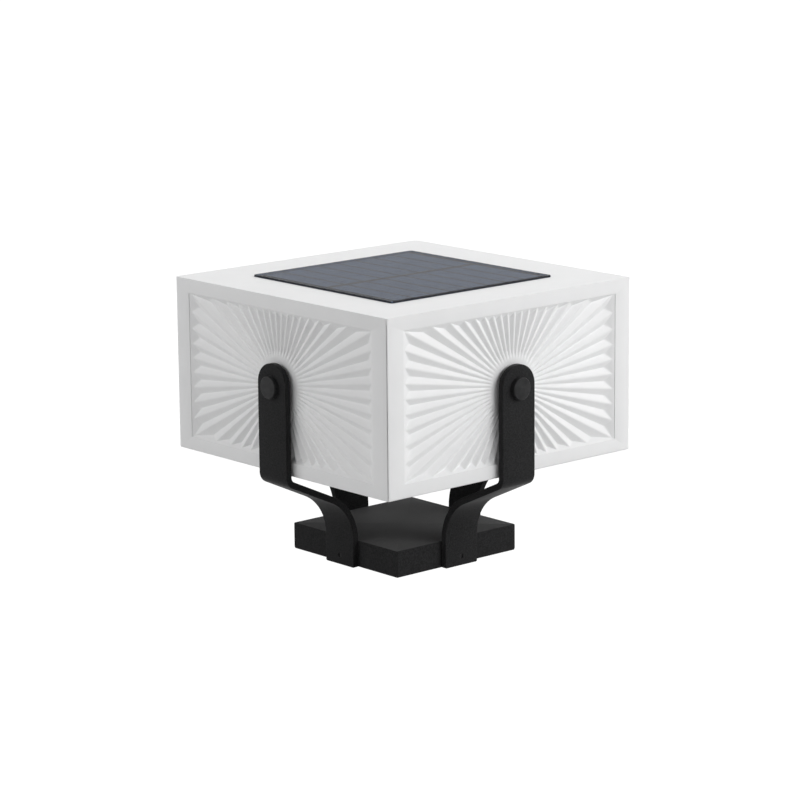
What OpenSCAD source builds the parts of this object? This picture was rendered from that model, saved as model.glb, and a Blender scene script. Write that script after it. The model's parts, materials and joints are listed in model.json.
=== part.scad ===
// Outdoor solar table lamp: a square white head with sunburst side panels, held between
// four bent flat bars that stand on a square black base.
// The origin is the centre of the footprint on the table. X points right, Y back and Z up.

/* [Head] */
// Width of the square head across its flat sides
head_w = 250; // [240:1:300]
// Height of the head
head_h = 136.5; // [130:0.5:170]
// Rounding of the head's edges
head_r = 1.6; // [0.8:0.1:2.4]
// Thickness of a side panel's border
panel_t = 3; // [2.4:0.1:3.6]
// Thickness of the top cover
top_t = 4.5; // [4:0.1:6]
// Gap between two side panels along a corner of the head
seam = 0.3; // [0.2:0.1:0.6]
// Gap from the base's top up to the head
head_lift = 60.75; // [56:0.25:80]

/* [Sunburst] */
// Plain border at each side of a sunburst
border_x = 16.3; // [15.5:0.1:19]
// Plain border over and under a sunburst
border_z = 11.1; // [10.5:0.1:14]
// Step from the border down to the relief's rim
rim_step = 0.3; // [0.2:0.05:0.6]
// Distance of the ridge ends from the window's sides
ridge_in_x = 2.3; // [1.5:0.1:4]
// Distance of the ridge ends from the window's top and bottom
ridge_in_z = 1; // [0.8:0.1:2]
// Depth of the ridges under the border's face
ridge_depth = 1.2; // [1.1:0.05:1.6]
// Depth of the grooves at their outer ends
groove_depth = 4.05; // [3:0.05:4.6]
// Where a groove ends, as a share of the ray's length
groove_reach = 0.943; // [0.9:0.001:0.97]
// Pleats along each side of a window
pleats_side = 9; // [5:2:13]
// Pleats along the top and along the bottom of a window
pleats_top = 17; // [9:2:25]
// Thickness of the pleated sheet
sheet_t = 2.2; // [1.8:0.1:2.6]
// Radius of the flat hub in the middle of a sunburst
hub_r = 20; // [18:0.5:22]
// Height of the hub over the ridges
hub_rise = 0.3; // [0.2:0.05:0.6]
// Radius of the boss behind the hub
boss_r = 9; // [8.5:0.1:11]
// Depth of the boss's back under the border's face
boss_depth = 15; // [13:0.5:18]

/* [Bars] */
// Width of a flat bar
bar_w = 33; // [31:0.5:38]
// Thickness of a flat bar
bar_t = 5; // [4:0.1:6]
// Slope of a bar's arm over the level
arm_slope = 25; // [22:1:28]
// Inside radius of the bend over the base
bend_low_r = 36; // [30:0.5:37]
// Inside radius of the bend under the head
bend_top_r = 4.5; // [4:0.5:8]
// Gap between a bar and the head's side
bar_gap = 1.8; // [1:0.1:3]
// Height of the bar's round end's centre over the pin
end_over_pin = 1.5; // [0:0.1:3]

/* [Pins] */
// Radius of a retaining pin's head
pin_head_r = 8.6; // [7:0.1:10]
// Thickness of a retaining pin's head
pin_head_t = 4; // [2.5:0.1:6]
// Bevel round a retaining pin's head
pin_bevel = 0.5; // [0.2:0.1:1]
// Radius of a retaining pin's shank
pin_r = 4; // [3:0.1:4.4]
// Outer radius of a spacer washer
washer_r = 11; // [9:0.5:14]
// Outer radius of a threaded insert
insert_r = 6; // [5.5:0.1:6.5]
// Length of a threaded insert
insert_l = 10; // [7:0.5:10.5]
// Thickness of the insert's collar behind the boss
collar_t = 1; // [0.8:0.1:2]

/* [Base] */
// Width of the square base
base_w = 124; // [116:1:140]
// Height of the base's cover
base_h = 21; // [19:0.5:26]
// Rounding of the base's edges
base_r = 1.2; // [0.6:0.1:2]
// Wall of the base's cover
base_wall = 2; // [1.5:0.1:2.5]
// Top thickness of the base's cover
base_top_t = 2.5; // [2:0.1:3.5]
// How far the rubber feet stand below the base's cover
foot_rise = 1; // [0.6:0.1:2]
// Thickness of a rubber foot
foot_t = 1.5; // [1.2:0.1:3]
// Radius of a rubber foot
foot_r = 7; // [5:0.5:7.5]
// Thickness of the base plate
plate_t = 3; // [2.5:0.1:4]
// Distance of the corner posts from the inside of the base's walls
post_in = 5; // [4.5:0.1:6]
// Clear space between the ballast block and the corner posts
weight_room = 4; // [2:0.1:6]
// Distance between the table bolt holes
deck_pitch = 60; // [50:1:62]
// Radius of a table bolt hole
deck_r = 3; // [2:0.1:3.4]
// Depth of a table bolt hole in the ballast block
deck_depth = 9; // [6:0.5:9.5]
// Distance of a bracket bolt from the bar's middle
bolt_x = 9; // [7:0.5:10]
// Height of the bracket bolts over the base's lower edge
bolt_z = 13; // [11:0.5:13.5]
// Radius of a bracket bolt's thread
bolt_r = 2.5; // [2:0.1:3]
// Depth of a bracket bolt in a foot
bolt_bite = 3.5; // [2:0.1:3.5]
// Radius of the small locating hole low in each foot
dowel_r = 1.5; // [1:0.1:2]
// Height of the locating hole over the base's lower edge
dowel_z = 7.2; // [6:0.1:7.5]
// How deep the dowel lies in its hole
dowel_in = 1; // [0.4:0.1:1.6]

/* [Solar panel] */
// Width of the solar panel
solar_w = 164; // [158:1:170]
// Corner radius of the solar panel
solar_r = 2; // [1.5:0.1:4]
// Rounding of the solar glass's top rim
glass_rim = 0.5; // [0.3:0.1:0.5]
// How far the solar panel stands over the head's top
solar_proud = 1.5; // [1.2:0.1:2]
// Depth of the recess under the solar panel
solar_sink = 1.5; // [1.2:0.1:1.5]
// Gap round the solar panel in its recess
solar_gap = 0.3; // [0.2:0.1:0.6]
// Thickness of the adhesive seal
seal_t = 0.5; // [0.4:0.1:0.8]
// Width of the adhesive seal
seal_w = 12; // [6:0.5:20]
// Thickness of the black back board
board_t = 1.6; // [1.2:0.1:1.7]
// Thickness of a solar cell
cell_t = 0.25; // [0.2:0.05:0.3]
// Rows of solar cells
cell_rows = 8; // [4:1:10]
// Black border at the two ends of the rows
cell_border_x = 5; // [4:0.1:8]
// Black border before the first row and after the last
cell_border_y = 6.6; // [4:0.1:8]
// Gap between the two columns of cells
cell_mid = 5.5; // [3:0.1:8]
// Gap between two rows of cells
cell_gap = 0.8; // [0.5:0.1:1.5]
// Clear space round and over the cells under the glass
cell_play = 0.05; // [0.05:0.01:0.1]

/* [Inside] */
// Size of the inner frame's square bars
post_w = 9; // [8:0.5:10]
// Length of the spacing bosses behind the side panels
stud_l = 3; // [2.5:0.1:3.5]
// Clear space between the heads of the panel screws and the inner frame's top ring
screw_room = 4; // [1:0.5:10]
// How far the bottom cover lies up inside the head
cover_in = 1; // [0.5:0.1:2]
// Thickness of the bottom cover
cover_t = 3; // [2.6:0.1:4]
// Thickness of the raised pad in the middle of the bottom cover
pad_t = 3; // [2.5:0.1:4]
// Width of the light's square core
core_w = 64; // [62:1:66]
// Wall of the light's core
core_t = 2; // [1.5:0.1:2]
// Width of the flange round the core's foot
flange_w = 10; // [9:0.5:12]
// Thickness of the core's foot flange and of its top lip
flange_t = 2; // [1.6:0.1:3]
// Width of the core's top lip
lip_w = 8; // [7:0.5:9]
// Radius of a battery cell
bat_r = 9.2; // [8.5:0.1:9.3]
// Length of a battery cell
bat_l = 65.2; // [60:0.1:70]
// Distance between two battery cells' axes
bat_pitch = 20; // [19.5:0.1:21]
// Floor and cap thickness of the battery holder
holder_t = 3; // [2.5:0.1:4]
// Wall of the battery holder round the cells
holder_wall = 2; // [1.5:0.1:3]
// Width of a light board
led_board_w = 30; // [26:1:34]
// Height of a light board
led_board_h = 60; // [50:1:64]
// Thickness of a circuit board
pcb_t = 1.6; // [1.2:0.1:2]
// Rows of light chips on a board
led_rows = 6; // [4:1:7]
// Width of a light chip
led_w = 3.5; // [2.5:0.1:5]
// Thickness of a light chip
led_t = 0.8; // [0.5:0.1:1.2]
// Width of the charge board
charge_w = 58; // [56:1:60]
// Distance of the switch's axis from the head's sides
switch_in = 47; // [41:1:53]
// Radius of the switch's threaded barrel
barrel_r = 8; // [7.5:0.1:9]
// Length of the switch's barrel
barrel_l = 18; // [15:0.5:22]
// Radius of the switch's outer collar
bezel_r = 9.8; // [9.6:0.1:11]
// Thickness of the switch's outer collar
bezel_t = 1.6; // [1.2:0.1:2.4]
// Radius of the power button
button_r = 6; // [5:0.1:6.4]
// How far the power button stands out of its collar
button_out = 1.5; // [1.5:0.1:3]
// Travel of the power button
button_travel = 1.5; // [1:0.1:2]
// Distance of the wire hole behind the middle
wire_y = 21; // [19:0.5:22]
// Radius of a wire
wire_r = 0.9; // [0.6:0.1:1]

/* [Hidden] */

// Radial gap round a screw or a pin in its hole
play = 0.05;
// Gap between loose neighbours
slack = 0.3;
// Overlap of two shapes that are joined in one piece
bite = 1;
// Radius of a small screw's thread, its head and the head's height
screw_r = 1.5;
screw_head_r = 2.8;
screw_head_t = 1.4;

white = "#E9E9E6";
opal = "#F1F1EE";
black = "#2B2B2D";
steel = "#B8BABD";
brass = "#C9A55A";
rubber = "#1E1E1F";

// Clear space over the ballast block, and between a rubber foot and the head of the screw beside it
weight_gap = 2;
pad_gap = 0.8;
// How deep the base plate's screws reach into the corner posts and into the ballast block
post_bite = 8;
weight_bite = 7;

// Levels from the table up
cover_z = foot_rise;
base_z1 = cover_z + base_h;
plate_z = foot_t;
weight_z = plate_z + plate_t;
weight_h = base_z1 - base_top_t - weight_z - weight_gap;
head_z = base_z1 + head_lift;
head_top = head_z + head_h;
pin_z = head_z + head_h / 2;
bottom_z = head_z + cover_in;
floor_z = bottom_z + cover_t;
core_z = floor_z + pad_t;
lip_z = core_z + holder_t + bat_l + slack + holder_t;
charge_z = lip_z + flange_t;
wall_top = head_top - top_t;

// Places out from the middle
foot_u = base_w / 2;
strap_u = head_w / 2 + bar_gap;
inner_u = head_w / 2 - panel_t;
switch_at = head_w / 2 - switch_in;
post_u = inner_u - stud_l - post_w / 2;
post_r = 4.5;
corner_post_at = foot_u - base_wall - post_in - post_r;
foot_at = corner_post_at - (foot_r + screw_head_r + pad_gap) / sqrt(2);
weight_w = 2 * (corner_post_at - post_r - weight_room);

module on_side(k) {
    rotate([0, 0, 90 * k])
        translate([0, -head_w / 2, pin_z])
            children();
}

// A rod along the depth of a side, from depth y0 to y1
module rod_in(r, y0, y1) {
    translate([0, y0, 0])
        rotate([-90, 0, 0])
            cylinder(r = r, h = y1 - y0, $fn = 64);
}

module block(half_x, half_y, z0, z1) {
    translate([-half_x, -half_y, z0])
        cube([2 * half_x, 2 * half_y, z1 - z0]);
}

module rounded_square(w, r) {
    square([w - 2 * r, w], center = true);
    square([w, w - 2 * r], center = true);
    for (x = [-1, 1], y = [-1, 1])
        translate([x * (w / 2 - r), y * (w / 2 - r)])
            circle(r, $fn = 48);
}

module rounded_slab(w, r, z0, z1) {
    translate([0, 0, z0])
        linear_extrude(z1 - z0)
            rounded_square(w, r);
}

// The square frame between two half widths
module ring(half_out, half_in, z0, z1) {
    difference() {
        block(half_out, half_out, z0, z1);
        block(half_in, half_in, z0 - bite, z1 + bite);
    }
}

// A rectangle with two round corners at its top, seen from the side
module arch_outline(w, z0, z1, r) {
    translate([-w / 2, z0])
        square([w, z1 - r - z0]);
    translate([-w / 2 + r, z0])
        square([w - 2 * r, z1 - z0]);
    for (s = [-1, 1])
        translate([s * (w / 2 - r), z1 - r])
            circle(r, $fn = 48);
}

// A box with round upright edges of radius r and a round top rim
module soft_box(w, r, rim_r, z0, z1) {
    intersection() {
        rounded_slab(w, r, z0, z1);
        for (a = [0, 90])
            rotate([90, 0, a])
                linear_extrude(w + 2 * bite, center = true)
                    arch_outline(w, z0 - bite, z1, rim_r);
    }
}

// A countersunk screw pointing up, its head's face at z = 0
module countersunk(length, r = screw_r, head_r = screw_head_r, head_t = screw_head_t) {
    difference() {
        union() {
            cylinder(r1 = head_r, r2 = r, h = head_t, $fn = 48);
            cylinder(r = r, h = length, $fn = 48);
        }
        translate([0, 0, -bite])
            cylinder(r = r * 0.8, h = bite + head_t * 0.7, $fn = 6);
    }
}

module countersink(length, r = screw_r, head_r = screw_head_r, head_t = screw_head_t) {
    translate([0, 0, -play])
        cylinder(r1 = head_r + play, r2 = r + play, h = head_t, $fn = 48);
    translate([0, 0, -play])
        cylinder(r = r + play, h = length + 2 * play, $fn = 48);
}

// A pan-headed screw pointing down, the underside of its head at z = 0
module pan_screw(length, r = screw_r, head_r = screw_head_r, head_t = screw_head_t) {
    difference() {
        union() {
            cylinder(r = head_r, h = head_t, $fn = 48);
            translate([0, 0, -length])
                cylinder(r = r, h = length + head_t / 2, $fn = 48);
        }
        translate([0, 0, head_t * 0.4])
            cylinder(r = r * 0.8, h = head_t, $fn = 6);
    }
}

// Sunburst: the window, the rectangle of ridge ends and the directions of the rays
window_x = head_w / 2 - border_x;
window_z = head_h / 2 - border_z;
ridge_x = window_x - ridge_in_x;
ridge_z = window_z - ridge_in_z;
corner_a = atan2(ridge_z, ridge_x);
ridges = 2 * pleats_side + 2 * pleats_top;
// How far the pleated sheet runs in behind the window's rim
tuck = 0.6;

function side_a(i) = -corner_a + i * 2 * corner_a / pleats_side;
function top_a(i) = corner_a + i * (180 - 2 * corner_a) / pleats_top;
function ridge_a(i) =
    i < pleats_side ? side_a(i)
    : i < pleats_side + pleats_top ? top_a(i - pleats_side)
    : i < 2 * pleats_side + pleats_top ? 180 + side_a(i - pleats_side - pleats_top)
    : i < ridges ? 180 + top_a(i - 2 * pleats_side - pleats_top)
    : 360 - corner_a;
function reach(a) = min(ridge_x / max(abs(cos(a)), 0.001), ridge_z / max(abs(sin(a)), 0.001));
function at_ray(a, r, depth) = [r * cos(a), depth, r * sin(a)];
function ridge_end(i) = at_ray(ridge_a(i), reach(ridge_a(i)), ridge_depth);
function groove_a(i) = (ridge_a(i) + ridge_a(i + 1)) / 2;
function groove_end(i) = at_ray(groove_a(i), groove_reach * reach(groove_a(i)), groove_depth);
function rim_point(i) = [
    ridge_end(i)[0] * (window_x + tuck) / ridge_x,
    rim_step,
    ridge_end(i)[2] * (window_z + tuck) / ridge_z];
function sheet_face(dy) = [
    [0, ridge_depth + dy, 0],
    for (i = [0 : ridges - 1]) ridge_end(i) + [0, dy, 0],
    for (i = [0 : ridges - 1]) groove_end(i) + [0, dy, 0],
    for (i = [0 : ridges - 1]) rim_point(i) + [0, dy, 0]];

// The pleated sheet: a fan of flat facets with a bevel up to the window's rim
module pleated_sheet() {
    n = ridges;
    m = 1 + 3 * n;
    front = [for (i = [0 : n - 1]) let (j = (i + 1) % n) each [
        [0, 1 + n + i, 1 + i],
        [0, 1 + j, 1 + n + i],
        [1 + i, 1 + n + i, 1 + j],
        [1 + i, 1 + 2 * n + j, 1 + 2 * n + i],
        [1 + i, 1 + j, 1 + 2 * n + j]]];
    back = [for (f = front) [f[2] + m, f[1] + m, f[0] + m]];
    edge = [for (i = [0 : n - 1]) let (a = 1 + 2 * n + i, b = 1 + 2 * n + (i + 1) % n) each [
        [a, b + m, a + m],
        [a, b, b + m]]];
    polyhedron(points = concat(sheet_face(0), sheet_face(sheet_t)), faces = concat(front, back, edge));
}

module base_cover() color(black) difference() {
    union() {
        difference() {
            soft_box(base_w, base_r, base_r, cover_z, base_z1);
            block(foot_u - base_wall, foot_u - base_wall, cover_z - bite, base_z1 - base_top_t);
        }
        for (x = [-1, 1], y = [-1, 1])
            translate([x * corner_post_at, y * corner_post_at, weight_z])
                cylinder(r = post_r, h = base_z1 - weight_z - base_top_t / 2, $fn = 48);
    }
    for (x = [-1, 1], y = [-1, 1])
        translate([x * corner_post_at, y * corner_post_at, weight_z - bite])
            cylinder(r = screw_r + play, h = 2 * bite + post_bite, $fn = 48);
    for (k = [0 : 3])
        foot_holes(k, foot_u - base_wall - bite, foot_u + bite, foot_u + bite);
}

// The holes for a bar's two bolts, up to bolt_end, and for its dowel, up to dowel_end
module foot_holes(k, start, bolt_end, dowel_end) {
    rotate([0, 0, 90 * k]) {
        for (x = [-bolt_x, bolt_x])
            translate([x, -start, cover_z + bolt_z])
                rotate([90, 0, 0])
                    cylinder(r = bolt_r + play, h = bolt_end - start, $fn = 48);
        translate([0, -start, cover_z + dowel_z])
            rotate([90, 0, 0])
                cylinder(r = dowel_r, h = dowel_end - start, $fn = 48);
    }
}

// The holes in the base plate: for its screws and for the table bolts
module plate_holes() {
    for (x = [-1, 1], y = [-1, 1])
        translate([x * corner_post_at, y * corner_post_at, plate_z])
            countersink(plate_t + bite);
    for (x = [-1, 1])
        translate([0, x * weight_w / 4, plate_z])
            countersink(plate_t + bite);
    deck_holes(plate_z - bite, weight_z + bite);
}

module deck_holes(z0, z1) {
    for (x = [-1, 1], y = [-1, 1])
        translate([x * deck_pitch / 2, y * deck_pitch / 2, z0])
            cylinder(r = deck_r, h = z1 - z0, $fn = 48);
}

module base_plate() color(black) difference() {
    block(foot_u - base_wall - slack, foot_u - base_wall - slack, plate_z, weight_z);
    plate_holes();
}

module base_weight() color("#6E6F72") difference() {
    block(weight_w / 2, weight_w / 2, weight_z, weight_z + weight_h);
    deck_holes(weight_z - bite, weight_z + deck_depth);
    for (x = [-1, 1])
        translate([0, x * weight_w / 4, weight_z - bite])
            cylinder(r = screw_r + play, h = 2 * bite + weight_bite, $fn = 48);
}

module weight_screws() color(steel) {
    for (x = [-1, 1])
        translate([0, x * weight_w / 4, plate_z])
            countersunk(plate_t + weight_bite);
}

module plate_screws() color(steel) {
    for (x = [-1, 1], y = [-1, 1])
        translate([x * corner_post_at, y * corner_post_at, plate_z])
            countersunk(plate_t + post_bite);
}

module foot_pads() color(rubber) {
    for (x = [-1, 1], y = [-1, 1])
        translate([x * foot_at, y * foot_at, 0])
            cylinder(r = foot_r, h = foot_t, $fn = 64);
}

// Bar profile, x out from the middle and y up
turn = 90 - arm_slope;
low_x = foot_u + bar_t + bend_low_r;
top_x = strap_u - bend_top_r;
top_y = head_z;
arm_dx = top_x + (bend_top_r + bar_t) * cos(turn) - (low_x + bend_low_r * cos(180 - turn));
low_y = top_y - (bend_top_r + bar_t) * sin(turn) - arm_dx * tan(arm_slope) - bend_low_r * sin(turn);
end_z = pin_z + end_over_pin;
bend_steps = 24;

function arc(x, y, r, a0, a1) = [for (i = [0 : bend_steps])
    let (a = a0 + (a1 - a0) * i / bend_steps) [x + r * cos(a), y + r * sin(a)]];

module bar_outline() {
    polygon(concat(
        [[foot_u + bar_t, cover_z]],
        arc(low_x, low_y, bend_low_r, 180, 180 - turn),
        arc(top_x, top_y, bend_top_r + bar_t, -turn, 0),
        [[strap_u + bar_t, end_z + bar_w / 2 + bite], [strap_u, end_z + bar_w / 2 + bite]],
        arc(top_x, top_y, bend_top_r, 0, -turn),
        arc(low_x, low_y, bend_low_r + bar_t, 180 - turn, 180),
        [[foot_u, cover_z]]));
}

module bracket(k) color(black) difference() {
    intersection() {
        rotate([0, 0, 90 * k - 90])
            rotate([90, 0, 0])
                linear_extrude(bar_w, center = true)
                    bar_outline();
        rotate([0, 0, 90 * k])
            rotate([90, 0, 0])
                linear_extrude(head_w)
                    union() {
                        translate([-bar_w / 2, 0])
                            square([bar_w, end_z]);
                        translate([0, end_z])
                            circle(bar_w / 2, $fn = 180);
                    }
    }
    on_side(k)
        rod_in(pin_r + play, -bar_gap - bar_t - bite, bite);
    foot_holes(k, foot_u - bite, foot_u + bolt_bite + slack, foot_u + bar_t + bite);
}

module bracket_front() bracket(0);
module bracket_right() bracket(1);
module bracket_back() bracket(2);
module bracket_left() bracket(3);

// Cap screws from inside the base's cover into the feet of the bars
module bracket_bolts() color(steel) {
    head_l = 2 * bolt_r;
    start = foot_u - base_wall;
    for (k = [0 : 3], x = [-bolt_x, bolt_x])
        rotate([0, 0, 90 * k])
            translate([x, -start, cover_z + bolt_z])
                rotate([90, 0, 0])
                    difference() {
                        union() {
                            translate([0, 0, -head_l])
                                cylinder(r = 1.7 * bolt_r, h = head_l, $fn = 48);
                            translate([0, 0, -bite])
                                cylinder(r = bolt_r, h = bite + base_wall + bolt_bite, $fn = 48);
                        }
                        translate([0, 0, -head_l - bite])
                            cylinder(r = 0.92 * bolt_r, h = bite + head_l / 2, $fn = 6);
                    }
}

module foot_dowels() color(steel) {
    for (k = [0 : 3])
        rotate([0, 0, 90 * k])
            translate([0, -foot_u + base_wall, cover_z + dowel_z])
                rotate([90, 0, 0])
                    cylinder(r = dowel_r - play, h = base_wall + bar_t - dowel_in, $fn = 48);
}

// Depths along a retaining pin, from the border's face inwards
hub_depth = ridge_depth - hub_rise;
strap_face = -bar_gap - bar_t;
insert_y = boss_depth - insert_l;
pin_end = boss_depth - 1;

module retaining_pins() color(black) {
    for (k = [0 : 3])
        on_side(k)
            translate([0, strap_face - pin_head_t, 0])
                rotate([-90, 0, 0])
                    rotate_extrude($fn = 96)
                        polygon([[0, 0], [pin_head_r - pin_bevel, 0], [pin_head_r, pin_bevel],
                            [pin_head_r, pin_head_t], [pin_r, pin_head_t],
                            [pin_r, pin_head_t + pin_end - strap_face - pin_bevel],
                            [pin_r - pin_bevel, pin_head_t + pin_end - strap_face],
                            [0, pin_head_t + pin_end - strap_face]]);
}

module spacer_washers() color(rubber) {
    for (k = [0 : 3])
        on_side(k)
            difference() {
                rod_in(washer_r, -bar_gap, hub_depth);
                rod_in(pin_r + 2 * play, -bar_gap - bite, hub_depth + bite);
            }
}

module pin_inserts() color(brass) {
    for (k = [0 : 3])
        on_side(k)
            difference() {
                union() {
                    rod_in(insert_r, insert_y, boss_depth + collar_t);
                    rod_in(insert_r + 1.5, boss_depth, boss_depth + collar_t);
                }
                rod_in(pin_r + play, insert_y - bite, boss_depth + collar_t + bite);
            }
}

// The head's outer block, cut into the top cover and the four side panels
module head_block(z0, z1) {
    intersection() {
        rounded_slab(head_w, head_r, z0, z1);
        for (a = [0, 90])
            rotate([90, 0, a])
                linear_extrude(head_w + 2 * bite, center = true)
                    translate([0, (head_z + head_top) / 2])
                        head_outline();
    }
}

module head_outline() {
    square([head_w - 2 * head_r, head_h], center = true);
    square([head_w, head_h - 2 * head_r], center = true);
    for (x = [-1, 1], y = [-1, 1])
        translate([x * (head_w / 2 - head_r), y * (head_h / 2 - head_r)])
            circle(head_r, $fn = 48);
}

// Studs and screws that tie the side panels to the corner posts. Those of two neighbouring
// sides pass each other at different levels.
stud_r = 3.6;
stud_bore = panel_t - 1.4;
screw_shift = 8;
boss_h = 3;
frame_t = 4;
screw_rows = head_h / 2 - top_t - boss_h - frame_t - screw_head_r - screw_shift - screw_room;

module at_studs(k) {
    on_side(k)
        for (x = [-post_u, post_u], s = [-screw_rows, screw_rows])
            translate([x, 0, s + (k % 2) * screw_shift])
                children();
}

module wedge(k) {
    back_off = seam / 2 * sqrt(2);
    rotate([0, 0, 90 * k])
        translate([0, 0, head_z - bite])
            linear_extrude(head_h)
                polygon([[0, -back_off], [-head_w, -head_w - back_off], [head_w, -head_w - back_off]]);
}

module side_panel(k) color(opal) difference() {
    union() {
        difference() {
            intersection() {
                head_block(head_z, wall_top);
                wedge(k);
            }
            block(inner_u, inner_u, head_z - bite, head_top);
            on_side(k)
                translate([-window_x, -bite, -window_z])
                    cube([2 * window_x, panel_t + 2 * bite, 2 * window_z]);
        }
        on_side(k)
            pleated_sheet();
        on_side(k)
            rod_in(hub_r, hub_depth, ridge_depth + sheet_t + hub_rise);
        on_side(k)
            rod_in(boss_r, hub_depth + bite, boss_depth);
        at_studs(k)
            rod_in(stud_r, panel_t - bite, panel_t + stud_l);
    }
    on_side(k)
        rod_in(pin_r + 2 * play, -bite, boss_depth);
    on_side(k)
        rod_in(insert_r + play, insert_y, boss_depth + bite);
    at_studs(k)
        rod_in(screw_r + play, stud_bore, panel_t + stud_l + bite);
}

module side_panel_front() side_panel(0);
module side_panel_right() side_panel(1);
module side_panel_back() side_panel(2);
module side_panel_left() side_panel(3);

// Bosses under the top cover, their screws and the rubber bush of the wire hole
top_boss_at = 60;
grommet_r = 4;
grommet_lip = 1;

module at_top_bosses(z) {
    for (k = [0 : 3], x = [-top_boss_at, top_boss_at])
        rotate([0, 0, 90 * k])
            translate([x, -post_u, z])
                children();
}

module top_cover() color(white) difference() {
    union() {
        head_block(wall_top, head_top);
        at_top_bosses(wall_top - boss_h)
            cylinder(r = stud_r, h = boss_h + bite, $fn = 48);
    }
    rounded_slab(solar_w + 2 * solar_gap, solar_r + solar_gap, head_top - solar_sink, head_top + bite);
    translate([0, wire_y, wall_top - bite])
        cylinder(r = grommet_r + play, h = top_t + 2 * bite, $fn = 48);
    at_top_bosses(wall_top - boss_h - bite)
        cylinder(r = screw_r + play, h = 2 * bite + boss_h + 1.2, $fn = 48);
}

// The inner frame: a square ring below and above, with a post in each corner
frame_out = inner_u - stud_l;
frame_in = frame_out - post_w;
frame_z1 = wall_top - boss_h;
cover_bite = 10;

module inner_frame() color(white) difference() {
    union() {
        ring(frame_out, frame_in, floor_z, floor_z + frame_t);
        ring(frame_out, frame_in, frame_z1 - frame_t, frame_z1);
        for (x = [-1, 1], y = [-1, 1])
            translate([x * post_u - post_w / 2, y * post_u - post_w / 2, floor_z])
                cube([post_w, post_w, frame_z1 - floor_z]);
    }
    for (k = [0 : 3])
        at_studs(k)
            rod_in(screw_r + play, panel_t + stud_l - bite, panel_t + stud_l + post_w + bite);
    for (x = [-1, 1], y = [-1, 1])
        translate([x * post_u, y * post_u, floor_z - bite])
            cylinder(r = screw_r + play, h = bite + cover_bite, $fn = 48);
    at_top_bosses(frame_z1 - frame_t - bite)
        cylinder(r = screw_r + play, h = frame_t + 2 * bite, $fn = 48);
}

module panel_screws() color(steel) {
    for (k = [0 : 3])
        at_studs(k)
            translate([0, panel_t + stud_l + post_w, 0])
                rotate([-90, 0, 0])
                    pan_screw(post_w + stud_l + panel_t - stud_bore - slack);
}

module top_screws() color(steel) {
    at_top_bosses(frame_z1 - frame_t)
        rotate([180, 0, 0])
            pan_screw(frame_t + boss_h + bite);
}

// Solar panel, from the recess up
seal_z = head_top - solar_sink;
board_z = seal_z + seal_t;
cell_z = board_z + board_t;
glass_top = head_top + solar_proud;
cell_w = (solar_w - 2 * cell_border_x - cell_mid) / 2;
cell_pitch = (solar_w - 2 * cell_border_y + cell_gap) / cell_rows;
cell_l = cell_pitch - cell_gap;

module panel_seal() color(rubber) ring(solar_w / 2 - 1, solar_w / 2 - 1 - seal_w, seal_z, board_z);

module panel_board() color("#17181B") difference() {
    rounded_slab(solar_w, solar_r, board_z, cell_z);
    translate([0, wire_y, board_z - bite])
        for (x = [-1, 1])
            translate([x * wire_gap, 0, 0])
                cylinder(r = wire_r + play, h = bite + board_t / 2, $fn = 32);
}

module at_cells() {
    for (c = [-1, 1], j = [0 : cell_rows - 1])
        translate([c * (cell_mid + cell_w) / 2, -solar_w / 2 + cell_border_y + cell_l / 2 + j * cell_pitch, 0])
            children();
}

module solar_cells() color("#20242F") {
    at_cells()
        translate([-cell_w / 2, -cell_l / 2, cell_z])
            cube([cell_w, cell_l, cell_t]);
}

module panel_glass() color([0.55, 0.6, 0.68, 0.35]) difference() {
    soft_box(solar_w, solar_r, glass_rim, cell_z, glass_top);
    translate([-solar_w / 2 + cell_border_x - cell_play, -solar_w / 2 + cell_border_y - cell_play, cell_z - bite])
        cube([solar_w - 2 * (cell_border_x - cell_play), solar_w - 2 * (cell_border_y - cell_play),
            bite + cell_t + cell_play]);
}

// The wires from the solar panel pass through a rubber bush in the top cover
wire_gap = 1.8;

module wire_grommet() color(rubber) difference() {
    union() {
        translate([0, wire_y, wall_top - grommet_lip])
            cylinder(r = grommet_r + grommet_lip, h = grommet_lip, $fn = 48);
        translate([0, wire_y, wall_top - grommet_lip])
            cylinder(r = grommet_r, h = grommet_lip + top_t - solar_sink, $fn = 48);
    }
    for (x = [-wire_gap, wire_gap])
        translate([x, wire_y, wall_top - grommet_lip - bite])
            cylinder(r = wire_r + play, h = top_t + 2 * bite + grommet_lip, $fn = 32);
}

// A wire along straight runs with round elbows
module wire(points) {
    for (i = [0 : len(points) - 2]) {
        d = points[i + 1] - points[i];
        l = norm(d);
        translate(points[i])
            rotate([0, acos(d[2] / l), atan2(d[1], d[0])])
                cylinder(r = wire_r, h = l, $fn = 24);
    }
    for (i = [1 : 1 : len(points) - 2])
        translate(points[i])
            sphere(wire_r, $fn = 24);
}

// Bottom cover: a plate inside the side panels, with a raised pad for the light's core
cover_u = inner_u - slack;
groove_in = 2;
groove_z = 0.8;
groove_h = 1.4;
pad_u = core_w / 2 + flange_w;
core_bite = 5;
core_screw_u = core_w / 2 + flange_w / 2;

module bottom_cover() color(white) difference() {
    union() {
        block(cover_u, cover_u, bottom_z, floor_z);
        block(pad_u, pad_u, floor_z - bite, core_z);
    }
    ring(cover_u + bite, cover_u - groove_in, bottom_z + groove_z, bottom_z + groove_z + groove_h);
    for (x = [-1, 1], y = [-1, 1])
        translate([x * post_u, y * post_u, bottom_z])
            countersink(cover_t + bite);
    for (x = [-1, 1], y = [-1, 1])
        translate([x * core_screw_u, y * core_screw_u, core_z - core_bite])
            cylinder(r = screw_r + play, h = core_bite + bite, $fn = 48);
    translate([switch_at, -switch_at, bottom_z - bite])
        cylinder(r = barrel_r + play, h = cover_t + 2 * bite, $fn = 64);
}

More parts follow.
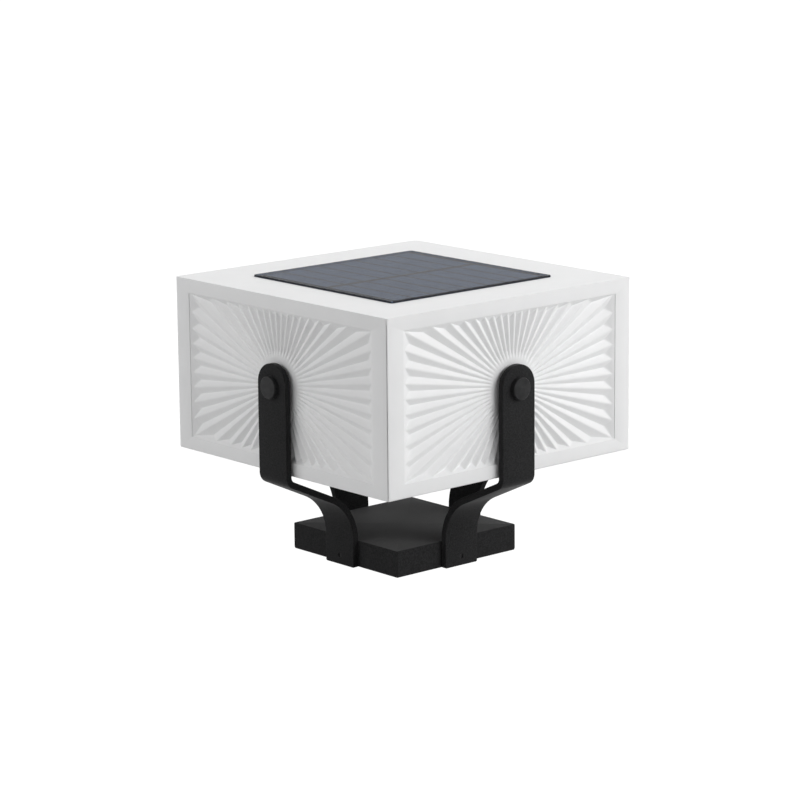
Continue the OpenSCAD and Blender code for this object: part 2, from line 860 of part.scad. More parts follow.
module cover_gasket() color(rubber)
    ring(inner_u, cover_u - groove_in + play, bottom_z + groove_z + play, bottom_z + groove_z + groove_h - play);

module cover_screws() color(steel) {
    for (x = [-1, 1], y = [-1, 1])
        translate([x * post_u, y * post_u, bottom_z])
            countersunk(cover_t + cover_bite - bite);
}

// The light's core: a square tube with a flange at its foot and a lip at its top
module light_core() color(steel) difference() {
    union() {
        ring(core_w / 2, core_w / 2 - core_t, core_z, charge_z);
        ring(pad_u, core_w / 2 - core_t, core_z, core_z + flange_t);
        ring(core_w / 2, core_w / 2 - core_t - lip_w, lip_z, charge_z);
    }
    for (x = [-1, 1], y = [-1, 1])
        translate([x * core_screw_u, y * core_screw_u, core_z - bite])
            cylinder(r = screw_r + play, h = flange_t + 2 * bite, $fn = 48);
    for (k = [0 : 3])
        at_led_screws(k)
            rod_in(1 + play, -core_t - bite, bite);
    at_board_screws(lip_z - bite)
        cylinder(r = 1 + play, h = flange_t + 2 * bite, $fn = 32);
}

module core_screws() color(steel) {
    for (x = [-1, 1], y = [-1, 1])
        translate([x * core_screw_u, y * core_screw_u, core_z + flange_t])
            pan_screw(flange_t + core_bite - slack);
}

// Light boards on the four faces of the core
led_z = core_z + (lip_z - core_z - led_board_h) / 2;
led_pitch = led_board_h / (led_rows + 1);
led_screw_in = 3.2;

module on_core(k) {
    rotate([0, 0, 90 * k])
        translate([0, -core_w / 2, 0])
            children();
}

module at_led_screws(k) {
    on_core(k)
        for (z = [led_z + led_screw_in, led_z + led_board_h - led_screw_in])
            translate([0, 0, z])
                rotate([180, 0, 0])
                    children();
}

module led_board(k) color(white) difference() {
    on_core(k)
        translate([-led_board_w / 2, -pcb_t, led_z])
            cube([led_board_w, pcb_t, led_board_h]);
    at_led_screws(k)
        rod_in(1 + play, -bite, pcb_t + bite);
}

module led_board_front() led_board(0);
module led_board_right() led_board(1);
module led_board_back() led_board(2);
module led_board_left() led_board(3);

module led_chips() color("#E8D27A") {
    for (k = [0 : 3])
        on_core(k)
            for (x = [-led_board_w / 4, led_board_w / 4], j = [1 : led_rows])
                translate([x - led_w / 2, -pcb_t - led_t, led_z + j * led_pitch - led_w / 2])
                    cube([led_w, led_t, led_w]);
}

module led_screws() color(steel) {
    for (k = [0 : 3])
        at_led_screws(k)
            translate([0, pcb_t, 0])
                rotate([-90, 0, 0])
                    pan_screw(pcb_t + core_t, 1, 2, 1);
}

// Battery: four upright cells in a holder inside the core
holder_u = core_w / 2 - core_t - slack;
cell_floor = core_z + holder_t;
cap_z = cell_floor + bat_l + slack;
holder_w = bat_pitch + 2 * (bat_r + slack + holder_wall);
contact_t = slack;
contact_w = 8;
strip_l = bat_pitch + contact_w;
tab_y = holder_w / 2;

module at_bats() {
    for (x = [-1, 1], y = [-1, 1])
        translate([x * bat_pitch / 2, y * bat_pitch / 2, 0])
            children();
}

module battery_holder() color("#2E3134") difference() {
    union() {
        block(holder_u, holder_u, core_z, cell_floor);
        block(holder_w / 2, holder_w / 2, core_z, cap_z);
    }
    at_bats()
        translate([0, 0, cell_floor])
            cylinder(r = bat_r + slack, h = bat_l + slack + bite, $fn = 96);
    contact_room(cap_z - contact_t - play, cap_z + bite, strip_l / 2);
    contact_room(cell_floor - contact_t - play, cell_floor, tab_y + contact_t);
}

// Room for the two straps of a level, from the front pair of cells back to end_y
module contact_room(z0, z1, end_y) {
    for (x = [-1, 1])
        translate([x * bat_pitch / 2 - contact_w / 2 - play, -strip_l / 2 - play, z0])
            cube([contact_w + 2 * play, strip_l / 2 + end_y + 2 * play, z1 - z0]);
}

// Room for the straps' tabs that stand behind y
module tab_room(y, z0, z1) {
    for (x = [-1, 1])
        translate([x * bat_pitch / 2 - contact_w / 2 - play, y - play, z0])
            cube([contact_w + 2 * play, contact_t + 2 * play, z1 - z0]);
}

module battery_cell(i) color("#3D6FA8")
    translate([(i % 2 - 0.5) * bat_pitch, (floor(i / 2) - 0.5) * bat_pitch, cell_floor])
        rotate_extrude($fn = 96)
            polygon([[0, 0], [bat_r - 0.5, 0], [bat_r, 0.5], [bat_r, bat_l - 1.5], [bat_r - 0.5, bat_l - 1],
                [bat_r * 0.32, bat_l - 1], [bat_r * 0.32, bat_l], [0, bat_l]]);

module battery_cell_1() battery_cell(0);
module battery_cell_2() battery_cell(1);
module battery_cell_3() battery_cell(2);
module battery_cell_4() battery_cell(3);

module battery_cap() color("#2E3134") difference() {
    block(holder_u, holder_u, cap_z, lip_z);
    for (y = [0, tab_y])
        tab_room(y, cap_z - bite, lip_z + bite);
}

// Contact straps over and under each pair of cells, with tabs up to the charge board
module battery_contacts() color(brass) {
    for (x = [-1, 1])
        translate([x * bat_pitch / 2 - contact_w / 2, 0, 0]) {
            translate([0, -strip_l / 2, cap_z - contact_t])
                cube([contact_w, strip_l, contact_t]);
            translate([0, 0, cap_z - contact_t])
                cube([contact_w, contact_t, contact_t + charge_z - cap_z]);
            translate([0, -strip_l / 2, cell_floor - contact_t])
                cube([contact_w, strip_l / 2 + tab_y + contact_t, contact_t]);
            translate([0, tab_y, cell_floor - contact_t])
                cube([contact_w, contact_t, contact_t + charge_z - cell_floor]);
        }
}

// Charge board on the core's lip, with its parts
board_screw_u = core_w / 2 - core_t - lip_w / 2;
board_top = charge_z + pcb_t;

module at_board_screws(z) {
    for (x = [-1, 1], y = [-1, 1])
        translate([x * board_screw_u, y * board_screw_u, z])
            children();
}

module charge_board() color("#1F5B3A") difference() {
    block(charge_w / 2, charge_w / 2, charge_z, board_top);
    at_board_screws(charge_z - bite)
        cylinder(r = 1 + play, h = pcb_t + 2 * bite, $fn = 32);
}

// Controller chip, coil, two regulators and two round capacitors, each with its place and size
board_blocks = [
    [[-14, -8], [9, 9, 1.2]],
    [[-2, -12], [7, 7, 4]],
    [[-16, 6], [6, 4, 1.5]],
    [[-4, 1], [5, 4, 1.5]]];
capacitor_r = 4;
capacitor_h = 9;
capacitor_places = [[14, -8], [14, 2.5]];

module board_parts() color("#303236") translate([0, 0, board_top]) {
    for (b = board_blocks)
        translate(b[0])
            cube(b[1]);
    for (at = capacitor_places)
        translate(at)
            cylinder(r = capacitor_r, h = capacitor_h, $fn = 48);
}

module board_screws() color(steel) {
    at_board_screws(board_top)
        pan_screw(pcb_t + flange_t - 0.2, 1, 2, 1);
}

// Push switch in the bottom cover
switch_play = 0.08;
switch_seal_t = 0.8;
bezel_z = bottom_z - switch_seal_t - bezel_t;
stem_r = 2;
nut_t = 4;
nut_r = barrel_r + 4;
button_h = 2.5;
web_t = 2;
keeper_r = 3.2;
keeper_t = 1;
well_z = bezel_z + button_h + button_travel + slack;
keeper_z = well_z + web_t;

module at_switch(z) {
    translate([switch_at, -switch_at, z])
        children();
}

module switch_body() color(black) difference() {
    union() {
        at_switch(bezel_z)
            cylinder(r = bezel_r, h = bezel_t, $fn = 96);
        at_switch(bezel_z)
            cylinder(r = barrel_r, h = barrel_l, $fn = 96);
    }
    at_switch(bezel_z - bite)
        cylinder(r = button_r + switch_play, h = well_z - bezel_z + bite, $fn = 96);
    at_switch(well_z - bite)
        cylinder(r = stem_r + switch_play, h = 2 * bite + web_t, $fn = 48);
    at_switch(keeper_z)
        cylinder(r = keeper_r + slack, h = keeper_t + button_travel + slack, $fn = 96);
}

module switch_seal() color(rubber) at_switch(bottom_z - switch_seal_t) difference() {
    cylinder(r = bezel_r, h = switch_seal_t, $fn = 96);
    translate([0, 0, -bite])
        cylinder(r = barrel_r + play, h = switch_seal_t + 2 * bite, $fn = 96);
}

module switch_nut() color(steel) at_switch(floor_z) difference() {
    cylinder(r = nut_r, h = nut_t, $fn = 6);
    translate([0, 0, -bite])
        cylinder(r = barrel_r + play, h = nut_t + 2 * bite, $fn = 96);
}

// The button, its stem and the keeper that stops it from falling out
module power_button() color("#8E9094") {
    at_switch(bezel_z - button_out)
        cylinder(r = button_r, h = button_out + button_h, $fn = 96);
    at_switch(bezel_z + button_h - bite)
        cylinder(r = stem_r, h = bite + keeper_z + keeper_t - bezel_z - button_h, $fn = 48);
    at_switch(keeper_z)
        cylinder(r = keeper_r, h = keeper_t, $fn = 96);
}

// Wires inside the head
switch_top = bezel_z + barrel_l;
edge_u = charge_w / 2 - 3;
outside_u = core_w / 2 + pcb_t + 2;
wire_x = 8;

module panel_wires() color("#8A1F1F") {
    for (x = [-wire_gap, wire_gap])
        wire([[x, wire_y, board_z + board_t / 2], [x, wire_y, board_top]]);
}

module led_wires() color("#B9B9B4") {
    joint_z = led_z + led_board_h - wire_r - 1.5;
    for (k = [0 : 3])
        rotate([0, 0, 90 * k])
            wire([[wire_x, -edge_u, board_top], [wire_x, -edge_u, board_top + 3],
                [wire_x, -outside_u, board_top + 3], [wire_x, -outside_u, joint_z],
                [wire_x, -core_w / 2 - pcb_t, joint_z]]);
}

module switch_wires() color("#2F4F8F") {
    over = board_top + 6;
    for (s = [-3, 3])
        wire([[switch_at, s - switch_at, switch_top], [switch_at, s - switch_at, over],
            [s + 22, s - switch_at, over], [s + 22, -edge_u + 6, over], [s + 22, -edge_u + 6, board_top]]);
}

base_cover();
base_plate();
base_weight();
weight_screws();
plate_screws();
foot_pads();
bracket_front();
bracket_right();
bracket_back();
bracket_left();
bracket_bolts();
foot_dowels();
retaining_pins();
spacer_washers();
pin_inserts();
top_cover();
side_panel_front();
side_panel_right();
side_panel_back();
side_panel_left();
inner_frame();
panel_screws();
top_screws();
panel_seal();
panel_board();
solar_cells();
panel_glass();
wire_grommet();
bottom_cover();
cover_gasket();
cover_screws();
light_core();
core_screws();
led_board_front();
led_board_right();
led_board_back();
led_board_left();
led_chips();
led_screws();
battery_holder();
battery_cell_1();
battery_cell_2();
battery_cell_3();
battery_cell_4();
battery_cap();
battery_contacts();
charge_board();
board_parts();
board_screws();
switch_body();
switch_seal();
switch_nut();
power_button();
panel_wires();
led_wires();
switch_wires();
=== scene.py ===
# Outdoor solar table lamp: its finely shaped pieces and its finishes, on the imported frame.
# Lengths are in millimetres; makePiece turns them into metres.
import json
import math
import bmesh
import bpy
import numpy as np
from mathutils import Matrix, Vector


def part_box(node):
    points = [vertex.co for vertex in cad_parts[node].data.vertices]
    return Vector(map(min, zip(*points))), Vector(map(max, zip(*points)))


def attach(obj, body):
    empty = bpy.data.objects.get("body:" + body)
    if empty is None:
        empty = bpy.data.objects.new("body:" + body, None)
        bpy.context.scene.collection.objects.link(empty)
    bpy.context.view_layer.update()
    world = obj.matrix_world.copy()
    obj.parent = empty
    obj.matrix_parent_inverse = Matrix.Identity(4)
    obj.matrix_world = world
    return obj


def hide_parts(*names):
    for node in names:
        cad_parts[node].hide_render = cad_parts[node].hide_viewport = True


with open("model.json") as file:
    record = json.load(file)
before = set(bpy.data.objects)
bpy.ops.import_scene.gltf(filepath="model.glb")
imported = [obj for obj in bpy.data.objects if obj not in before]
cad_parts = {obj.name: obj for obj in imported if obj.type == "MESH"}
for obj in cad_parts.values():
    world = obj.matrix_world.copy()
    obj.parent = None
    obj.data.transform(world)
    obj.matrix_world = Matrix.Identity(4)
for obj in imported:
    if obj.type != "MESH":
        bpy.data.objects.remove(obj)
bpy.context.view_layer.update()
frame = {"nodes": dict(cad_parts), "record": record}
slotOf = {part["node"]: part["material_slot"] for part in frame["record"]["subparts"]}


def boxOf(node):
    low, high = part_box(node)
    return np.array(low) * 1000, np.array(high) * 1000


# Levels and half widths that the pieces share, read off the frame
headHalf = boxOf("top_cover")[1][0]
headTop = boxOf("top_cover")[1][2]
headBottom = boxOf("side_panel_front")[0][2]
wallTop = boxOf("side_panel_front")[1][2]
pinLevel = boxOf("retaining_pins")[0][2] / 2 + boxOf("retaining_pins")[1][2] / 2
baseHalf = boxOf("base_cover")[1][0]
print("frame loaded,", len(frame["nodes"]), "nodes")


# Meshes

samePlace, noLength = 2e-6, 1e-7  # metres: closer points are one point, shorter edges are no edges
sharpFrom = math.radians(32)  # edges that turn by more than this stay sharp
cutPast = 1.0  # a cutter goes this far past the surface that it opens


def gridFaces(rows, columns, closeRows, closeColumns):
    # Each face joins a point to the next in its row and to the same two of the next row.
    row = np.arange(rows if closeRows else rows - 1)[:, None]
    column = np.arange(columns if closeColumns else columns - 1)[None, :]
    nextRow = (row + 1) % rows
    nextColumn = (column + 1) % columns
    corners = [row * columns + column, row * columns + nextColumn,
               nextRow * columns + nextColumn, nextRow * columns + column]
    return np.stack(np.broadcast_arrays(*corners), -1).reshape(-1, 4)


def makeMesh(name, sheets):
    # Sheets are grids of points with two flags: the last row joins the first, and so does the last column.
    points, faces, count = [], [], 0
    for grid, closeRows, closeColumns in sheets:
        points.append(grid.reshape(-1, 3) / 1000)
        faces.append(gridFaces(*grid.shape[:2], closeRows, closeColumns) + count)
        count += len(points[-1])
    mesh = bpy.data.meshes.new(name)
    mesh.from_pydata(np.concatenate(points).tolist(), [], np.concatenate(faces).tolist())
    work = bmesh.new()
    work.from_mesh(mesh)
    bmesh.ops.remove_doubles(work, verts=work.verts, dist=samePlace)
    bmesh.ops.dissolve_degenerate(work, edges=work.edges, dist=noLength)
    bmesh.ops.recalc_face_normals(work, faces=work.faces)
    openEdges = sum(not edge.is_manifold for edge in work.edges)
    work.to_mesh(mesh)
    work.free()
    if openEdges:
        print("  open edges in", name, openEdges)
    return mesh


def makePiece(name, sheets, body, nodes, finish, cutter=None):
    # Makes the mesh, takes the cutter out of it where there is one, and puts it on its body for its nodes.
    piece = bpy.data.objects.new(name, makeMesh(name, sheets))
    bpy.context.scene.collection.objects.link(piece)
    if cutter is not None:
        carve(piece, cutter)
    piece.data.shade_smooth()
    piece.data.set_sharp_from_angle(angle=sharpFrom)
    piece.data.materials.clear()
    piece.data.materials.append(finish)
    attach(piece, body)
    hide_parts(*nodes)
    return piece


def carve(piece, sheets):
    # Takes the closed sheets out of the piece and keeps the result as its mesh.
    tool = bpy.data.objects.new("tool", makeMesh("tool", sheets))
    bpy.context.scene.collection.objects.link(tool)
    cut = piece.modifiers.new("holes", "BOOLEAN")
    cut.operation = "DIFFERENCE"
    cut.solver = "EXACT"
    cut.object = tool
    shaped = piece.evaluated_get(bpy.context.evaluated_depsgraph_get())
    piece.data = bpy.data.meshes.new_from_object(shaped)
    piece.modifiers.clear()
    bpy.data.objects.remove(tool)


def turned(profile, place=(0.0, 0.0, 0.0), steps=32, axis="depth"):
    # A profile of radii and lengths carried round an axis through place: radius times cosine and sine
    # across it, length along it.
    profile = np.asarray(profile, float)
    angle = np.linspace(0, 2 * np.pi, steps, endpoint=False)[None, :]
    across = profile[:, :1] * np.cos(angle)
    over = profile[:, :1] * np.sin(angle)
    along = np.broadcast_to(profile[:, 1:], across.shape)
    parts = [across, along, over] if axis == "depth" else [across, over, along]
    return np.stack(parts, -1) + np.array(place, float)


def roundedCorner(radius, face, edge, steps=6):
    # Profile points on a quarter circle from the face to the side at the radius.
    angle = np.linspace(0, np.pi / 2, steps + 1)
    return [(radius - edge + edge * math.sin(a), face + edge * (1 - math.cos(a))) for a in angle]


def onSide(points, side):
    # Points given as across, depth behind the head's side and height over the pins, carried to a side.
    placed = points + np.array([0, -headHalf, pinLevel])
    turn = side * np.pi / 2
    spin = np.array([[math.cos(turn), math.sin(turn), 0], [-math.sin(turn), math.cos(turn), 0], [0, 0, 1]])
    return placed @ spin


sideNames = ["front", "right", "back", "left"]


# Finishes

noiseSpan = (0.3, 0.7)  # nearly all of a noise's values lie in here


def addNode(tree, kind, inputs=None, **settings):
    node = tree.nodes.new(kind)
    for key, value in settings.items():
        setattr(node, key, value)
    for key, value in (inputs or {}).items():
        if isinstance(value, bpy.types.NodeSocket):
            tree.links.new(value, node.inputs[key])
        else:
            node.inputs[key].default_value = value
    return node


def mathOf(tree, operation, *values):
    return addNode(tree, "ShaderNodeMath", dict(enumerate(values)), operation=operation).outputs["Value"]


def mixOf(tree, share, *colours):
    # A colour between two, each an output or three numbers
    first, second = [value if isinstance(value, bpy.types.NodeSocket) else (*value, 1) for value in colours]
    return addNode(tree, "ShaderNodeMix", {0: share, 6: first, 7: second}, data_type="RGBA").outputs[2]


def startFinish(name):
    finish = bpy.data.materials.new(name)
    finish.use_nodes = True
    tree = finish.node_tree
    shader = tree.nodes["Principled BSDF"]
    place = tree.nodes.new("ShaderNodeTexCoord").outputs["Object"]
    return finish, tree, shader, place


def noiseOf(tree, place, size, detail=2.0):
    # Noise whose grains are about size millimetres wide
    noise = addNode(tree, "ShaderNodeTexNoise", {"Vector": place, "Scale": 1000 / size, "Detail": detail})
    return noise.outputs["Fac"]


def ramp(tree, factor, stops):
    node = addNode(tree, "ShaderNodeValToRGB", {"Fac": factor})
    elements = node.color_ramp.elements
    while len(elements) < len(stops):
        elements.new(0.5)
    for element, (spot, color) in zip(elements, stops):
        element.position = spot
        element.color = (*color, 1)
    return node.outputs["Color"]


def ranged(tree, noise, low, high):
    node = addNode(tree, "ShaderNodeMapRange", {"Value": noise, "From Min": noiseSpan[0], "From Max": noiseSpan[1],
                                                "To Min": low, "To Max": high})
    return node.outputs["Result"]


def toned(tree, noise, dark, light):
    return ramp(tree, noise, [(noiseSpan[0], dark), (noiseSpan[1], light)])


def between(tree, share, low, high=1.0):
    # From low where the share is 0 to high where it is 1
    return addNode(tree, "ShaderNodeMapRange", {"Value": share, "To Min": low, "To Max": high}).outputs["Result"]


def bumpFrom(tree, height, relief):
    inputs = {"Height": height, "Strength": 1.0, "Distance": relief / 1000}
    return addNode(tree, "ShaderNodeBump", inputs).outputs["Normal"]


grainedPlain = {"patch": 30.0, "metal": 0.0, "gloss": 0.5}


def grainedFinish(name, s):
    # Two close tones and two roughnesses that change over cloudy patches, and a fine relief of grains.
    s = grainedPlain | s
    finish, tree, shader, place = startFinish(name)
    patches = noiseOf(tree, place, s["patch"], 3.0)
    grain = noiseOf(tree, place, s["grain"])
    tree.links.new(toned(tree, patches, s["dark"], s["light"]), shader.inputs["Base Color"])
    tree.links.new(ranged(tree, grain, *s["rough"]), shader.inputs["Roughness"])
    tree.links.new(bumpFrom(tree, grain, s["relief"]), shader.inputs["Normal"])
    shader.inputs["Metallic"].default_value = s["metal"]
    shader.inputs["Specular IOR Level"].default_value = s["gloss"]
    return finish


grained = {
    "white_case": {"dark": (0.84, 0.842, 0.845), "light": (0.862, 0.864, 0.867), "rough": (0.42, 0.52),
                   "grain": 0.5, "relief": 0.006},
    "opal_panel": {"dark": (0.84, 0.842, 0.845), "light": (0.862, 0.864, 0.867), "rough": (0.42, 0.52),
                   "grain": 0.5, "relief": 0.006},
    "ballast": {"dark": (0.13, 0.13, 0.135), "light": (0.24, 0.235, 0.23), "rough": (0.55, 0.8),
                "grain": 1.2, "relief": 0.15, "metal": 0.6},
    "steel": {"dark": (0.52, 0.53, 0.55), "light": (0.66, 0.67, 0.68), "rough": (0.22, 0.36),
              "grain": 0.3, "relief": 0.004, "metal": 1.0, "patch": 4.0},
    "black_steel": {"dark": (0.018, 0.018, 0.0185), "light": (0.032, 0.032, 0.033), "rough": (0.36, 0.46),
                    "grain": 0.35, "relief": 0.008, "patch": 6.0, "gloss": 0.1},
    "brass": {"dark": (0.66, 0.47, 0.2), "light": (0.8, 0.61, 0.31), "rough": (0.2, 0.36),
              "grain": 0.3, "relief": 0.004, "metal": 1.0, "patch": 4.0},
    "rubber": {"dark": (0.014, 0.014, 0.014), "light": (0.024, 0.024, 0.024), "rough": (0.72, 0.9),
               "grain": 0.4, "relief": 0.012},
    "black_board": {"dark": (0.022, 0.027, 0.044), "light": (0.034, 0.041, 0.066), "rough": (0.35, 0.45),
                    "grain": 0.8, "relief": 0.004, "gloss": 0.0},
    "white_board": {"dark": (0.78, 0.78, 0.75), "light": (0.86, 0.86, 0.84), "rough": (0.26, 0.4),
                    "grain": 0.8, "relief": 0.004},
    "green_board": {"dark": (0.02, 0.12, 0.06), "light": (0.04, 0.17, 0.09), "rough": (0.22, 0.36),
                    "grain": 0.8, "relief": 0.006, "patch": 5.0},
    "chip": {"dark": (0.78, 0.62, 0.16), "light": (0.86, 0.74, 0.3), "rough": (0.3, 0.45),
             "grain": 0.3, "relief": 0.004, "patch": 1.0},
    "electronics": {"dark": (0.018, 0.018, 0.02), "light": (0.04, 0.04, 0.043), "rough": (0.4, 0.6),
                    "grain": 0.3, "relief": 0.01, "patch": 3.0},
    "cell_sleeve": {"dark": (0.03, 0.1, 0.24), "light": (0.05, 0.14, 0.32), "rough": (0.22, 0.34),
                    "grain": 2.5, "relief": 0.02},
    "black_plastic": {"dark": (0.015, 0.015, 0.016), "light": (0.025, 0.025, 0.027), "rough": (0.45, 0.6),
                      "grain": 0.4, "relief": 0.012},
    "grey_button": {"dark": (0.17, 0.175, 0.185), "light": (0.21, 0.215, 0.225), "rough": (0.42, 0.55),
                    "grain": 0.4, "relief": 0.01},
    "red_wire": {"dark": (0.3, 0.015, 0.012), "light": (0.42, 0.03, 0.025), "rough": (0.35, 0.5),
                 "grain": 0.5, "relief": 0.006, "patch": 4.0},
    "white_wire": {"dark": (0.6, 0.6, 0.56), "light": (0.72, 0.72, 0.69), "rough": (0.35, 0.5),
                   "grain": 0.5, "relief": 0.006, "patch": 4.0},
    "blue_wire": {"dark": (0.012, 0.05, 0.2), "light": (0.025, 0.08, 0.3), "rough": (0.35, 0.5),
                  "grain": 0.5, "relief": 0.006, "patch": 4.0},
}

powderCoat = {
    "dark": (0.0155, 0.0155, 0.0158), "light": (0.0325, 0.0325, 0.0335), "darkUpTo": 0.36, "lightFrom": 0.78,
    "rough": (0.5, 0.65), "grain": 1.1, "relief": 0.035, "cloud": 25.0, "cloudShare": 0.15,
    "gloss": 0.012, "sheen": 0.18, "sheenRough": 0.4,
}


def powderCoatFinish():
    # Pebbly matt powder coat: dark coat with paler tips where the grains stand out.
    c = powderCoat
    finish, tree, shader, place = startFinish("blackCoat")
    pebbles = noiseOf(tree, place, c["grain"], 3.0)
    cloud = noiseOf(tree, place, c["cloud"])
    both = mathOf(tree, "MULTIPLY_ADD", cloud, c["cloudShare"], pebbles)
    tone = ramp(tree, both, [(c["darkUpTo"], c["dark"]), (c["lightFrom"], c["light"])])
    tree.links.new(tone, shader.inputs["Base Color"])
    tree.links.new(ranged(tree, pebbles, *c["rough"]), shader.inputs["Roughness"])
    tree.links.new(bumpFrom(tree, pebbles, c["relief"]), shader.inputs["Normal"])
    shader.inputs["Specular IOR Level"].default_value = c["gloss"]
    shader.inputs["Sheen Weight"].default_value = c["sheen"]
    shader.inputs["Sheen Roughness"].default_value = c["sheenRough"]
    return finish


solarCell = {
    # The side tone and the gap line's tone are painted shade on the cells' upright sides and along the gaps
    # between rows
    "deep": (0.055, 0.099, 0.192), "pale": (0.071, 0.123, 0.238), "side": (0.004, 0.004, 0.005),
    "flakesPerMetre": 160.0, "rough": (0.25, 0.4), "roughPatch": 2.0, "ripple": 0.6, "relief": 0.004, "gloss": 0.0,
    "rows": 8, "gap": 0.8, "line": 0.55, "gapShadeTone": (0.002, 0.003, 0.008),
}


def solarCellFinish():
    # Grey-blue silicon in faint crystal flakes, with painted shade: near black on the cells' upright sides, and a
    # dark line of painted shade along each gap between two rows, reaching past the gap onto the cells: the
    # distance from the gap is |(y + half) / pitch - nearest whole number|.
    c = solarCell
    finish, tree, shader, place = startFinish("solarCell")
    flakes = addNode(tree, "ShaderNodeTexVoronoi", {"Vector": place, "Scale": c["flakesPerMetre"]})
    flakeTone = addNode(tree, "ShaderNodeSeparateColor", {"Color": flakes.outputs["Color"]}).outputs["Red"]
    tone = ramp(tree, flakeTone, [(0.0, c["deep"]), (1.0, c["pale"])])
    facing = addNode(tree, "ShaderNodeTexCoord").outputs["Normal"]
    upward = addNode(tree, "ShaderNodeSeparateXYZ", {"Vector": facing}).outputs["Z"]
    half = boxOf("solar_cells")[1][1] + c["gap"] / 2
    pitch = 2 * half / c["rows"]
    along = addNode(tree, "ShaderNodeSeparateXYZ", {"Vector": place}).outputs["Y"]
    row = mathOf(tree, "MULTIPLY_ADD", along, 1000 / pitch, half / pitch)
    away = mathOf(tree, "PINGPONG", row, 0.5)
    # The line is painted shade along the gap, wider than the gap itself
    line = mathOf(tree, "LESS_THAN", away, (c["gap"] / 2 + c["line"]) / pitch)
    lined = mixOf(tree, line, tone, c["gapShadeTone"])
    # Faces that don't face up take the near-black side tone: painted shade
    tree.links.new(mixOf(tree, upward, c["side"], lined), shader.inputs["Base Color"])
    tree.links.new(ranged(tree, noiseOf(tree, place, c["roughPatch"]), *c["rough"]), shader.inputs["Roughness"])
    tree.links.new(bumpFrom(tree, noiseOf(tree, place, c["ripple"]), c["relief"]), shader.inputs["Normal"])
    shader.inputs["Specular IOR Level"].default_value = c["gloss"]
    return finish


solarGlass = {
    # The liner's tone is a painted reflection: a pale tone that shows through the glass as a light line at the far
    # edges
    "corner": 2.0, "rim": 0.5, "rimRows": 6, "room": 0.05, "hollowCorner": 0.2, "hollowHeight": 0.3, "lift": 0.03,
    "support": 1.5, "liner": 1.3, "linerSlot": 0.3, "linerCover": 0.3, "linerMargin": 0.05, "linerTopMargin": 0.1,
    "edge": 0.3, "dark": (0.006, 0.007, 0.01), "light": (0.008, 0.009, 0.013), "linerReflectionTone": (0.14, 0.19, 0.28),
    "sideTone": (0.004, 0.004, 0.005), "alpha": 0.24, "patch": 40.0, "rough": (0.1, 0.14), "dull": 0.85,
}


def solarGlassFinish():
    # Clear cover glass over the cells, dull black at its outer sides, with an opaque blue-grey liner on the walls
    # of a slot behind them, whose pale tone is a painted reflection that shows as a light line at the far edges.
    # The larger of |x| and |y| and the height tell the three apart.
    g = solarGlass
    finish, tree, shader, place = startFinish("solarGlass")
    half, top = boxOf("panel_glass")[1][0], boxOf("panel_glass")[1][2]
    ripple = noiseOf(tree, place, g["patch"], 1.0)
    across = addNode(tree, "ShaderNodeVectorMath", {0: place}, operation="ABSOLUTE").outputs["Vector"]
    parts = addNode(tree, "ShaderNodeSeparateXYZ", {"Vector": across}).outputs
    reach = mathOf(tree, "MAXIMUM", parts["X"], parts["Y"])
    side = mathOf(tree, "GREATER_THAN", reach, (half - g["edge"]) / 1000)
    # The liner's walls, behind the sides and below the top, carry the painted reflection
    past = mathOf(tree, "GREATER_THAN", reach, (half - g["liner"] - g["linerMargin"]) / 1000)
    under = mathOf(tree, "LESS_THAN", parts["Z"], (top - g["linerTopMargin"]) / 1000)
    lined = mathOf(tree, "MULTIPLY", past, under)
    solid = mathOf(tree, "MAXIMUM", side, lined)
    clear = toned(tree, ripple, g["dark"], g["light"])
    tone = mixOf(tree, side, mixOf(tree, lined, clear, g["linerReflectionTone"]), g["sideTone"])
    tree.links.new(tone, shader.inputs["Base Color"])
    rough = between(tree, solid, ranged(tree, ripple, *g["rough"]), g["dull"])
    tree.links.new(rough, shader.inputs["Roughness"])
    tree.links.new(between(tree, solid, g["alpha"]), shader.inputs["Alpha"])
    finish.surface_render_method = "BLENDED"
    return finish


finishes = {name: grainedFinish(name, values) for name, values in grained.items()}
finishes["black_coat"] = powderCoatFinish()
finishes["solar_cell"] = solarCellFinish()
finishes["solar_glass"] = solarGlassFinish()
for name, part in frame["nodes"].items():
    part.data.materials.clear()
    part.data.materials.append(finishes[slotOf[name]])
print("finishes made,", len(finishes))


# Side panels: a plain border round a window with a sunburst of pleats that fade into a smooth hub

sunburst = {
    "borderSide": 16.3, "borderTop": 11.1, "border": 3.0,
    "rimStep": 0.3, "rimTuck": 0.6, "rimRound": 0.25,
    "ridgeInSide": 2.3, "ridgeInTop": 1.0, "ridgeDepth": 1.2,
    "grooveDepth": 4.05, "grooveReach": 0.943,
    "pleatsSide": 9, "pleatsTop": 17, "sheet": 2.2,
    "ridgeRound": 1.25, "grooveRound": 0.35, "endRound": 0.5, "ridgeMost": 0.3, "grooveMost": 0.15,
    "phases": (0.03, 0.06, 0.1, 0.14, 0.19, 0.26, 0.35, 0.43, 0.47, 0.49),
    "facetRings": (0.2, 0.45, 0.7, 0.88), "nearEnd": (0.6, 0.25, 0.0), "pastEnd": (0.25, 0.6, 1.0),
    "rimAngles": (0, 30, 60, 90),
    "hubDepth": 0.9, "hubBack": 3.7, "hubFlat": 20.5, "hubEnd": 29.0, "hubBackRing": 20.0,
    "hubRings": (11.0, 19.0, 20.5, 21.5, 22.5, 23.5, 24.5, 25.5, 26.5, 27.5, 28.3, 29.0, 31.0),
    "edgeRings": (0, 0.02, 0.07, 0.15, 0.26, 0.37, 0.6, 0.9, 1.25, 1.6, 3.0),
    "edgeRadius": 1.6, "seam": 0.3,
    "bossRadius": 9.0, "bossDepth": 15.0, "insertStart": 5.0, "insertHole": 6.05, "pinHole": 4.1,
}


